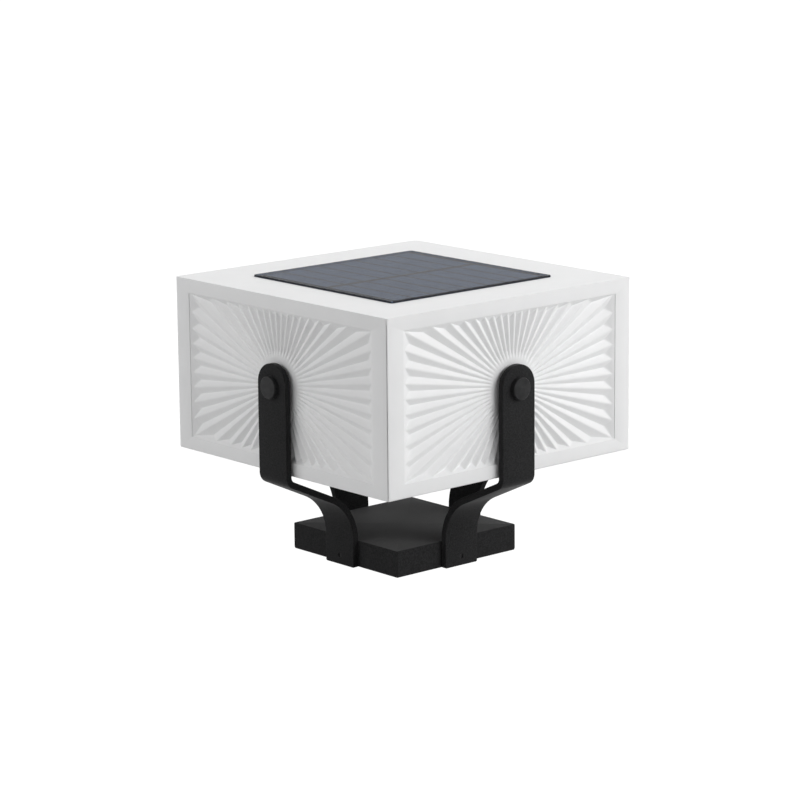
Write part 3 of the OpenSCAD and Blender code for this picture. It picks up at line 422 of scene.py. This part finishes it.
def softCrease(phase, ridgeWidth, grooveWidth):
    # Triangle wave from 0 at a ridge to 1 at a groove, with a parabola of the given half width at each turn.
    wave = 1 - abs(1 - 2 * phase)
    fromRidge = np.minimum(phase, 1 - phase)
    fromGroove = abs(phase - 0.5)
    wave = np.where(fromRidge < ridgeWidth, (fromRidge ** 2 + ridgeWidth ** 2) / ridgeWidth, wave)
    wave = np.where(fromGroove < grooveWidth, 1 - (fromGroove ** 2 + grooveWidth ** 2) / grooveWidth, wave)
    return (wave - ridgeWidth) / (1 - ridgeWidth - grooveWidth)


def softLower(first, second, width):
    # The smaller of two depths, with a smooth turn where they cross.
    width = np.maximum(width, 1e-6)
    share = np.clip(0.5 + 0.5 * (second - first) / width, 0, 1)
    return second + (first - second) * share - width * share * (1 - share)


def sunburstSheet():
    # One grid wrapped both ways. Its columns are directions from the middle, close together at the
    # creases. Its rows run from the pin's hole over the pleats and the border, round the edge and back
    # behind the panel to the boss and into the hole.
    s = sunburst
    windowX = headHalf - s["borderSide"]
    windowZ = (headTop - headBottom) / 2 - s["borderTop"]
    ridgeX = windowX - s["ridgeInSide"]
    ridgeZ = windowZ - s["ridgeInTop"]
    corner = np.arctan2(ridgeZ, ridgeX)
    sideRays = np.linspace(-corner, corner, s["pleatsSide"] + 1)[:-1]
    topRays = np.linspace(corner, np.pi - corner, s["pleatsTop"] + 1)[:-1]
    ridge = np.concatenate([sideRays, topRays, sideRays + np.pi, topRays + np.pi])
    groove = (ridge + np.append(ridge[1:], ridge[0] + 2 * np.pi)) / 2

    def endOf(angle, share):
        # A ray's end on the rectangle of the ridges' ends, times a share.
        reach = np.minimum(ridgeX / np.maximum(abs(np.cos(angle)), 1e-9),
                           ridgeZ / np.maximum(abs(np.sin(angle)), 1e-9)) * share
        return np.stack([reach * np.cos(angle), reach * np.sin(angle)], -1)

    half = np.array(s["phases"])
    phase = np.concatenate([[0], half, [0.5], 1 - half[::-1]])
    ridgeEnd = endOf(ridge, 1.0)[:, None]
    nextEnd = np.roll(ridgeEnd, -1, 0)
    grooveEnd = endOf(groove, s["grooveReach"])[:, None]
    mix = phase[None, :, None]
    wave = 1 - abs(1 - 2 * mix)
    start = np.where(mix <= 0.5, ridgeEnd, nextEnd)
    fold = (start + (grooveEnd - start) * wave).reshape(-1, 2)
    chord = (ridgeEnd + (nextEnd - ridgeEnd) * mix).reshape(-1, 2)
    pitch = np.repeat(np.linalg.norm(nextEnd - ridgeEnd, axis=-1), len(phase))
    phases = np.tile(phase, len(ridge))
    waves = np.tile(wave.ravel(), len(ridge))
    foldLength = np.linalg.norm(fold, axis=-1)
    bevelLength = np.linalg.norm(chord - fold, axis=-1)
    fall = s["grooveDepth"] - s["ridgeDepth"]

    def reliefDepth(radius, bevelShare):
        # Depth of the pleat's facet, cut by the bevel at its end, and raised to the hub near the middle.
        share = radius / foldLength
        wide = pitch * share
        ridgeWidth = np.clip(s["ridgeRound"] / wide, 1e-4, s["ridgeMost"])
        grooveWidth = np.clip(s["grooveRound"] / wide, 1e-4, s["grooveMost"])
        soft = softCrease(phases, ridgeWidth, grooveWidth)
        facet = s["ridgeDepth"] + fall * soft * share
        bevel = s["ridgeDepth"] + fall * waves * (1 - bevelShare)
        depth = softLower(facet, bevel, s["endRound"] * waves)
        blend = np.clip((radius - s["hubFlat"]) / (s["hubEnd"] - s["hubFlat"]), 0, 1)
        blend = blend * blend * (3 - 2 * blend)
        return s["hubDepth"] + (depth - s["hubDepth"]) * blend

    rows = []

    def addRow(flat, depth):
        rows.append(np.stack([flat[:, 0], np.broadcast_to(depth, phases.shape), flat[:, 1]], -1))

    def ring(radius):
        return fold * (radius / foldLength)[:, None]

    def addRing(radius, depth=None, behind=0.0):
        radius = np.broadcast_to(radius, phases.shape)
        if depth is None:
            bevelShare = (radius - foldLength) / np.maximum(bevelLength, 1e-6)
            depth = reliefDepth(radius, bevelShare)
        addRow(ring(radius), depth + behind)

    outer = s["hubRings"][-1]
    for radius in (s["pinHole"], *s["hubRings"]):
        addRing(radius)
    for share in s["facetRings"]:
        addRing(outer + (foldLength - outer) * share)
    for share in s["nearEnd"]:
        addRing(foldLength - share * bevelLength)
    for share in s["pastEnd"]:
        radius = foldLength + share * bevelLength
        addRow(fold + (chord - fold) * share, reliefDepth(radius, share))

    # The rim of the window and the border, as rectangles that grow outwards
    across = chord[:, 0] / ridgeX
    upward = chord[:, 1] / ridgeZ
    onSidePleat = abs(across) > 1 - 1e-6
    ridgeIn = np.where(onSidePleat, s["ridgeInSide"], s["ridgeInTop"])
    rimDepth = s["rimStep"] + (s["ridgeDepth"] - s["rimStep"]) * s["rimTuck"] / (ridgeIn + s["rimTuck"])

    def rectangle(halfX, top, bottom):
        return np.stack([across * halfX, np.where(upward > 0, upward * top, upward * bottom)], -1)

    addRow(rectangle(windowX, windowZ, windowZ), rimDepth)
    for angle in np.radians(s["rimAngles"]):
        out = s["rimRound"] * (1 - math.cos(angle))
        addRow(rectangle(windowX + out, windowZ + out, windowZ + out), s["rimRound"] * (1 - math.sin(angle)))
    top = wallTop - pinLevel
    bottom = pinLevel - headBottom
    r = s["edgeRadius"]
    mitre = s["seam"] / math.sqrt(2)
    for depth in s["edgeRings"]:
        over = math.sqrt(r * r - (r - min(depth, r)) ** 2)
        halfX = min(headHalf - r + over, headHalf - depth - mitre)
        addRow(rectangle(halfX, top, bottom - r + over), depth)

    # Behind the panel
    addRow(rectangle(windowX, windowZ, windowZ), s["border"])
    addRow(rectangle(windowX, windowZ, windowZ), rimDepth + s["sheet"])
    addRow(chord, s["ridgeDepth"] + s["sheet"])
    addRing(foldLength, behind=s["sheet"])
    addRing(outer, behind=s["sheet"])
    addRing(s["hubEnd"], behind=s["sheet"])
    addRing(s["hubBackRing"], s["hubBack"])
    addRing(s["bossRadius"], s["hubBack"])
    addRing(s["bossRadius"], s["bossDepth"])
    addRing(s["insertHole"], s["bossDepth"])
    addRing(s["insertHole"], s["insertStart"])
    addRing(s["pinHole"], s["insertStart"])
    return np.array(rows)


studs = {
    "radius": 3.6, "hole": 1.55, "holeStart": 2.9, "start": 2.5, "length": 3.0,
    "across": 114.5, "rows": 41.95, "shift": 8.0,
}


def studSheets(side):
    end = sunburst["border"] + studs["length"]
    profile = [(0, studs["start"]), (studs["radius"], studs["start"]), (studs["radius"], end),
               (studs["hole"], end), (studs["hole"], studs["holeStart"]), (0, studs["holeStart"])]
    lift = side % 2 * studs["shift"]
    return [turned(profile, (x, 0, z + lift))
            for x in (-studs["across"], studs["across"]) for z in (-studs["rows"], studs["rows"])]


panelSheet = sunburstSheet()
for side, sideName in enumerate(sideNames):
    sheets = [(onSide(panelSheet, side), True, True)]
    sheets += [(onSide(stud, side), False, True) for stud in studSheets(side)]
    makePiece("sidePanel." + sideName, sheets, "lamp", ["side_panel_" + sideName], finishes["opal_panel"])
print("side panels made,", panelSheet.shape[0] * panelSheet.shape[1], "points each")


# Bars: a flat bar with softly broken edges, bent twice, with a round upper end

bar = {
    "thick": 5.0, "slope": 25.0, "lowBend": 36.0, "topBend": 9.5, "edge": 0.55, "footCorner": 1.2,
    "boltAcross": 9.0, "boltHeight": 13.0, "boltHole": 2.55, "boltDepth": 3.8,
    "dowelHeight": 7.2, "dowelHole": 1.5, "dowelBevel": 0.45, "pinHole": 4.05, "pinHoleEnd": 10.0,
    "pinHoleSteps": 48, "pathPoints": 20001, "lowBendRows": 25, "armRows": 5, "topBendRows": 19, "endRows": 33,
    "edgeRows": 6, "cornerRows": 6,
}


def barSheets():
    # The outline of the unbent bar, from the middle of its foot to the middle of its round end, with a
    # section at each point: in from the outline by the edge's quarter circle, and through the thickness.
    # The path turns from upright to the arm's slope and back, and each point is carried onto it.
    low, high = boxOf("bracket_front")
    half = (high[0] - low[0]) / 2
    frontOut, backFoot = -low[1], -high[1]
    thick, edge, corner = bar["thick"], bar["edge"], bar["footCorner"]
    turn = math.radians(90 - bar["slope"])
    slope = math.radians(bar["slope"])
    rise = high[2] - half - low[2]
    run = frontOut - backFoot - thick
    bendRun = (bar["lowBend"] + bar["topBend"]) * (1 - math.cos(turn))
    bendRise = (bar["lowBend"] + bar["topBend"]) * math.sin(turn)
    arm = (run - bendRun) / math.cos(slope)
    topStraight = high[2] - half - headBottom
    foot = rise - bendRise - arm * math.sin(slope) - topStraight
    lengths = np.array([foot, bar["lowBend"] * turn, arm, bar["topBend"] * turn, topStraight + 2 * half])
    marks = np.append(0, np.cumsum(lengths))
    steps = np.linspace(0, marks[-1], bar["pathPoints"])
    heading = np.interp(steps, marks, np.radians([90, 90, bar["slope"], bar["slope"], 90, 90]))
    walk = np.stack([np.cos(heading), np.sin(heading)], -1)
    walk = (walk[1:] + walk[:-1]) / 2 * (steps[1] - steps[0])
    path = np.concatenate([[[0, 0]], np.cumsum(walk, 0)]) + [backFoot + thick, low[2]]

    endCentre = marks[4] + topStraight
    quarter = np.linspace(-np.pi / 2, 0, bar["cornerRows"])[:-1]
    straight = np.concatenate([[corner, foot / 2], np.linspace(marks[1], marks[2], bar["lowBendRows"]),
                               np.linspace(marks[2], marks[3], bar["armRows"])[1:-1],
                               np.linspace(marks[3], marks[4], bar["topBendRows"]),
                               [(marks[4] + endCentre) / 2, endCentre]])
    roundEnd = np.linspace(0, np.pi / 2, bar["endRows"])[1:]
    across = np.concatenate([[0], half - corner + corner * np.cos(quarter), np.full(len(straight), half),
                             half * np.cos(roundEnd)])
    along = np.concatenate([[0], corner + corner * np.sin(quarter), straight, endCentre + half * np.sin(roundEnd)])
    outAcross = np.concatenate([[0], np.cos(quarter), np.ones(len(straight)), np.cos(roundEnd)])
    outAlong = np.concatenate([[-1], np.sin(quarter), np.zeros(len(straight)), np.sin(roundEnd)])
    spine = np.clip(along, corner + edge, endCentre)

    arcs = np.linspace(0, np.pi / 2, bar["edgeRows"])
    inset = np.concatenate([edge * (1 - np.sin(arcs)), edge * (1 - np.cos(arcs))])
    depth = np.concatenate([edge * (1 - np.cos(arcs)), thick - edge * (1 - np.sin(arcs))])
    over = across[:, None] - outAcross[:, None] * inset[None, :]
    onPath = along[:, None] - outAlong[:, None] * inset[None, :]
    over = np.concatenate([0 * over[:, :1], over, 0 * over[:, :1]], 1)
    onPath = np.concatenate([spine[:, None], onPath, spine[:, None]], 1)
    depth = np.broadcast_to(np.concatenate([[0], depth, [thick]]), over.shape)
    bend = np.interp(onPath, steps, heading)
    out = np.interp(onPath, steps, path[:, 0]) - depth * np.sin(bend)
    up = np.interp(onPath, steps, path[:, 1]) + depth * np.cos(bend)
    return [np.stack([sign * over, headHalf - out, up - pinLevel], -1) for sign in (1, -1)]


def holeSheets():
    # The blind holes of the two bolts, the dowel's hole with its outer bevel, and the pin's hole
    level = boxOf("base_cover")[0][2] - pinLevel
    start = headHalf - baseHalf + cutPast
    face = headHalf - baseHalf - bar["thick"]
    boltEnd = headHalf - baseHalf - bar["boltDepth"]
    bolt = [(0, start), (bar["boltHole"], start), (bar["boltHole"], boltEnd), (0, boltEnd)]
    wide = bar["dowelHole"] + bar["dowelBevel"]
    dowel = [(0, start), (bar["dowelHole"], start), (bar["dowelHole"], face + bar["dowelBevel"]), (wide, face),
             (wide, face - cutPast), (0, face - cutPast)]
    pinHole = [(0, cutPast), (bar["pinHole"], cutPast), (bar["pinHole"], -bar["pinHoleEnd"]),
               (0, -bar["pinHoleEnd"])]
    sheets = [turned(bolt, (x, 0, level + bar["boltHeight"])) for x in (-bar["boltAcross"], bar["boltAcross"])]
    sheets.append(turned(dowel, (0, 0, level + bar["dowelHeight"])))
    sheets.append(turned(pinHole, steps=bar["pinHoleSteps"]))
    return sheets


barHalves = barSheets()
barHoles = holeSheets()
for side, sideName in enumerate(sideNames):
    sheets = [(onSide(half, side), False, False) for half in barHalves]
    holes = [(onSide(hole, side), False, True) for hole in barHoles]
    makePiece("bar." + sideName, sheets, "lamp", ["bracket_" + sideName], finishes["black_coat"], cutter=holes)
print("bars made")


# Base cover: a square box open below, softly rounded at its top, its corners and its lower edge

base = {
    "corner": 1.2, "rim": 0.8, "rimRows": 7, "lowEdge": 2.4, "lowSet": 1.1, "lowRows": 6,
    "wall": 2.0, "topWall": 2.5,
    "postAcross": 50.5, "post": 4.5, "postHole": 1.55, "postHeight": 3.5, "holeHeight": 9.0,
}


def squareRing(rows, steps=8):
    # Each row is a half width across and along, a corner radius and a height. A point is the corner's
    # centre plus the radius in a direction that turns by a quarter at each corner.
    angle = np.linspace(0, np.pi / 2, steps + 1)
    angle = np.concatenate([angle + k * np.pi / 2 for k in range(4)])
    signX = np.repeat([1, -1, -1, 1], steps + 1)
    signY = np.repeat([1, 1, -1, -1], steps + 1)
    halfX, halfY, radius, height = [np.array(rows, float)[:, [k]] for k in range(4)]
    x = (halfX - radius) * signX + radius * np.cos(angle)
    y = (halfY - radius) * signY + radius * np.sin(angle)
    return np.stack([x, y, np.broadcast_to(height, x.shape)], -1)


def baseSheet():
    low, high = boxOf("base_cover")
    half, bottom, top, b = high[0], low[2], high[2], base
    inner, ceiling = half - b["wall"], top - b["topWall"]
    rows = [(0, 0, 0, ceiling), (inner, inner, 0, ceiling), (inner, inner, 0, bottom)]
    for angle in np.linspace(0, np.pi / 2, b["lowRows"]):
        inset = b["lowSet"] * (1 - math.sin(angle))
        height = bottom + b["lowEdge"] * (1 - math.cos(angle))
        rows.append((half - inset, half - inset, b["corner"] - inset, height))
    for angle in np.linspace(0, np.pi / 2, b["rimRows"]):
        inset = b["rim"] * (1 - math.cos(angle))
        height = top - b["rim"] * (1 - math.sin(angle))
        rows.append((half - inset, half - inset, b["corner"] - inset, height))
    rows.append((0, 0, 0, top))
    return squareRing(rows)


def basePosts():
    low, high = boxOf("base_cover")
    start, end = low[2] + base["postHeight"], high[2] - base["topWall"] / 2
    profile = [(0, end), (base["post"], end), (base["post"], start), (base["postHole"], start),
               (base["postHole"], start + base["holeHeight"]), (0, start + base["holeHeight"])]
    at = base["postAcross"]
    return [turned(profile, (x, y, 0), axis="up") for x in (-at, at) for y in (-at, at)]


def baseHoles(side):
    # Round holes through the wall for a bar's bolts and dowel
    level = boxOf("base_cover")[0][2] - pinLevel
    start = headHalf - baseHalf - cutPast
    end = headHalf - baseHalf + base["wall"] + cutPast
    places = [(x, bar["boltHeight"], bar["boltHole"]) for x in (-bar["boltAcross"], bar["boltAcross"])]
    places.append((0, bar["dowelHeight"], bar["dowelHole"]))
    holes = [turned([(0, start), (radius, start), (radius, end), (0, end)], (x, 0, level + height))
             for x, height, radius in places]
    return [onSide(hole, side) for hole in holes]


coverSheets = [(baseSheet(), False, True)] + [(post, False, True) for post in basePosts()]
coverHoles = [(hole, False, True) for side in range(4) for hole in baseHoles(side)]
makePiece("baseCover", coverSheets, "lamp", ["base_cover"], finishes["black_coat"], cutter=coverHoles)
print("base made")


# Retaining pins: turned heads with a rounded rim

pin = {"head": 8.6, "headLength": 4.0, "rim": 0.7, "shank": 4.0, "end": 14.0, "endBevel": 0.5, "steps": 96}


def pinSheet(side):
    strapFace = -boxOf("bracket_front")[0][1]
    front = headHalf - strapFace - pin["headLength"]
    profile = [(0, front)] + roundedCorner(pin["head"], front, pin["rim"])
    profile += [(pin["head"], front + pin["headLength"]), (pin["shank"], front + pin["headLength"]),
                (pin["shank"], pin["end"] - pin["endBevel"]), (pin["shank"] - pin["endBevel"], pin["end"]),
                (0, pin["end"])]
    return onSide(turned(profile, steps=pin["steps"]), side)


pinSheets = [(pinSheet(side), False, True) for side in range(4)]
makePiece("retainingPins", pinSheets, "lamp", ["retaining_pins"], finishes["black_steel"])
print("pins made")


# Solar glass: a square plate with round corners and a rounded rim, hollow over the cells, with a slot for
# its liner near the sides, whose pale tone is a painted reflection

def glassSheet():
    low, high = boxOf("panel_glass")
    g, cells = solarGlass, boxOf("solar_cells")[1]
    half, top, bottom = high[0], high[2], low[2] + g["lift"]
    hollow = (cells[0] + g["room"], cells[1] + g["room"], g["hollowCorner"])
    rows = [(0, 0, 0, bottom + g["hollowHeight"]), (*hollow, bottom + g["hollowHeight"]), (*hollow, bottom)]
    slotStart, slotEnd = half - g["liner"], half - g["liner"] + g["linerSlot"]
    slotTop = top - g["linerCover"]
    rows += [(slotStart, slotStart, 0, bottom), (slotStart, slotStart, 0, slotTop),
             (slotEnd, slotEnd, 0, slotTop), (slotEnd, slotEnd, 0, bottom), (half, half, g["corner"], bottom)]
    for angle in np.linspace(0, np.pi / 2, g["rimRows"]):
        inset = g["rim"] * (1 - math.cos(angle))
        height = top - g["rim"] * (1 - math.sin(angle))
        rows.append((half - inset, half - inset, g["corner"] - inset, height))
    inner = half - g["rim"] - g["support"]
    rows += [(inner, inner, g["corner"] - g["rim"], top), (0, 0, 0, top)]
    return squareRing(rows)


makePiece("solarGlass", [(glassSheet(), False, True)], "lamp", ["panel_glass"], finishes["solar_glass"])
print("glass made")


# Switch under the head: a collar with a broken edge and a slightly domed button with its stem

switch = {
    "edge": 0.4, "well": 6.08, "wellDepth": 4.3, "stemHole": 2.08, "web": 2.0, "room": 3.5, "roomDepth": 2.8,
    "barrel": 8.0, "collar": 1.6, "dome": 0.25, "domeRows": 12, "buttonEdge": 0.5, "buttonLength": 4.0,
    "stem": 2.0, "keeper": 3.2, "keeperLength": 1.0, "steps": 96,
}


def roundOf(node):
    # The middle, the radius, the lower and the upper end of an upright round node
    low, high = boxOf(node)
    return (low[0] + high[0]) / 2, (low[1] + high[1]) / 2, (high[0] - low[0]) / 2, low[2], high[2]


def switchSheet():
    s = switch
    x, y, radius, bottom, top = roundOf("switch_body")
    well = bottom + s["wellDepth"]
    room = well + s["web"]
    profile = [(0, room + s["roomDepth"]), (s["room"], room + s["roomDepth"]), (s["room"], room),
               (s["stemHole"], room), (s["stemHole"], well), (s["well"], well),
               (s["well"], bottom + s["edge"]), (s["well"] + s["edge"], bottom)]
    profile += roundedCorner(radius, bottom, s["edge"])
    profile += [(radius, bottom + s["collar"]), (s["barrel"], bottom + s["collar"]), (s["barrel"], top), (0, top)]
    return turned(profile, (x, y, 0), s["steps"], axis="up")


def buttonSheet():
    s = switch
    x, y, radius, bottom, top = roundOf("power_button")
    flat = radius - s["buttonEdge"]
    keeper = top - s["keeperLength"]
    profile = [(r, bottom + s["dome"] * (r / flat) ** 2) for r in np.linspace(0, flat, s["domeRows"])]
    profile += roundedCorner(radius, bottom + s["dome"], s["buttonEdge"])[1:]
    profile += [(radius, bottom + s["buttonLength"]), (s["stem"], bottom + s["buttonLength"]),
                (s["stem"], keeper), (s["keeper"], keeper), (s["keeper"], top), (0, top)]
    return turned(profile, (x, y, 0), s["steps"], axis="up")


makePiece("switchCollar", [(switchSheet(), False, True)], "lamp", ["switch_body"], finishes["black_plastic"])
makePiece("powerButton", [(buttonSheet(), False, True)], "button", ["power_button"], finishes["grey_button"])
print("switch made")


# Rubber feet: discs with a round lower edge and a shallow dish

foot = {"radius": 7.0, "edge": 0.4, "dish": 0.25, "dishRadius": 4.4, "dishSlope": 0.5, "steps": 64}


def footSheets():
    low, high = boxOf("foot_pads")
    at = high[0] - foot["radius"]
    profile = [(0, low[2] + foot["dish"]), (foot["dishRadius"], low[2] + foot["dish"]),
               (foot["dishRadius"] + foot["dishSlope"], low[2])]
    profile += roundedCorner(foot["radius"], low[2], foot["edge"])
    profile += [(foot["radius"], high[2]), (0, high[2])]
    return [(turned(profile, (x, y, 0), foot["steps"], axis="up"), False, True)
            for x in (-at, at) for y in (-at, at)]


makePiece("rubberFeet", footSheets(), "lamp", ["foot_pads"], finishes["rubber"])
print("feet made")


# Camera at the photograph's angle

view = {"place": (1.7901, -1.5703, 0.6345), "azimuth": 48.80, "elevation": 12.16, "roll": -0.545,
        "lens": 140.14, "sensor": 36.0}


def makeCamera():
    a, e, roll = [math.radians(view[key]) for key in ("azimuth", "elevation", "roll")]
    back = np.array([math.sin(a) * math.cos(e), -math.cos(a) * math.cos(e), math.sin(e)])
    right = np.array([math.cos(a), math.sin(a), 0])
    up = np.cross(back, right)
    rolled = [right * math.cos(roll) + up * math.sin(roll), up * math.cos(roll) - right * math.sin(roll), back]
    camera = bpy.data.objects.new("camera", bpy.data.cameras.new("camera"))
    camera.data.lens = view["lens"]
    camera.data.sensor_width = view["sensor"]
    turn = Matrix(np.array(rolled).T.tolist()).to_4x4()
    camera.matrix_world = Matrix.Translation(view["place"]) @ turn
    bpy.context.scene.collection.objects.link(camera)
    bpy.context.scene.camera = camera


makeCamera()


# Light: softboxes on the photograph's left and right, one behind and one high over the back, and dim
# surroundings

softboxes = {
    "front": {"place": (-0.31, -1.79, 0.9), "power": 7.4},
    "left": {"place": (-1.19, -1.37, 0.9), "power": 8.2},
    "right": {"place": (1.19, 1.37, 0.9), "power": 7.5},
    "farRight": {"place": (1.7, 0.62, 0.9), "power": 18.5},
    "back": {"place": (0.31, 1.79, 0.9), "power": 5.2},
    "overhead": {"place": (-0.6, 0.6, 1.9), "power": 14.4},
}
surroundings = {"level": 0.115, "aim": (0.0, 0.0, 0.12), "softboxSize": 1.0}


def makeSoftbox(name, s):
    lamp = bpy.data.lights.new(name, "AREA")
    lamp.shape = "RECTANGLE"
    lamp.size = lamp.size_y = surroundings["softboxSize"]
    lamp.energy = s["power"]
    holder = bpy.data.objects.new("softbox." + name, lamp)
    away = np.array(s["place"]) - np.array(surroundings["aim"])
    away = away / np.linalg.norm(away)
    across = np.cross([0, 0, 1], away)
    across = across / np.linalg.norm(across)
    turn = Matrix(np.array([across, np.cross(away, across), away]).T.tolist()).to_4x4()
    holder.matrix_world = Matrix.Translation(s["place"]) @ turn
    bpy.context.scene.collection.objects.link(holder)


def seenStraight(tree):
    # 1 for rays from the camera, off a mirror and through glass, which see plain white.
    path = addNode(tree, "ShaderNodeLightPath").outputs
    first = mathOf(tree, "MAXIMUM", path["Is Camera Ray"], path["Is Glossy Ray"])
    return mathOf(tree, "MAXIMUM", first, path["Is Transmission Ray"])


def makeSurroundings():
    world = bpy.data.worlds.new("studio")
    bpy.context.scene.world = world
    world.use_nodes = True
    tree = world.node_tree
    level = between(tree, seenStraight(tree), surroundings["level"])
    tree.links.new(level, tree.nodes["Background"].inputs["Strength"])
    tree.nodes["Background"].inputs["Color"].default_value = (1, 1, 1, 1)


floor = {
    "half": 6000.0, "dark": (0.59, 0.59, 0.59), "light": (0.61, 0.61, 0.61), "speck": 3.0, "rough": 0.9,
    "white": 0.93, "level": 1.1, "whiteFrom": 0.35, "whiteTo": 0.9,
}


def makeFloor():
    # A pale floor. The camera and mirrors see it white, with the lamp's shadow where it is near.
    grid = np.array([[[-1, -1, 0], [1, -1, 0]], [[-1, 1, 0], [1, 1, 0]]]) * [floor["half"], floor["half"], 1.0]
    stand = bpy.data.objects.new("floor", makeMesh("floor", [(grid, False, False)]))
    finish, tree, shader, place = startFinish("floor")
    speck = noiseOf(tree, place, floor["speck"])
    tree.links.new(toned(tree, speck, floor["dark"], floor["light"]), shader.inputs["Base Color"])
    shader.inputs["Roughness"].default_value = floor["rough"]
    shader.inputs["Specular IOR Level"].default_value = 0.0
    glow = addNode(tree, "ShaderNodeEmission", {"Color": (1, 1, 1, 1), "Strength": floor["level"]})
    distance = addNode(tree, "ShaderNodeVectorMath", {0: place}, operation="LENGTH").outputs["Value"]
    white = addNode(tree, "ShaderNodeMapRange", {"Value": distance, "From Min": floor["whiteFrom"],
                                                 "From Max": floor["whiteTo"], "To Min": floor["white"],
                                                 "To Max": 1.0}).outputs["Result"]
    share = mathOf(tree, "MULTIPLY", seenStraight(tree), white)
    mixed = addNode(tree, "ShaderNodeMixShader",
                    {0: share, 1: shader.outputs["BSDF"], 2: glow.outputs["Emission"]})
    tree.links.new(mixed.outputs["Shader"], tree.nodes["Material Output"].inputs["Surface"])
    stand.data.materials.append(finish)
    bpy.context.scene.collection.objects.link(stand)


for name, values in softboxes.items():
    makeSoftbox(name, values)
makeSurroundings()
makeFloor()
bpy.context.scene.view_settings.view_transform = "Standard"
print("camera, light and floor set")
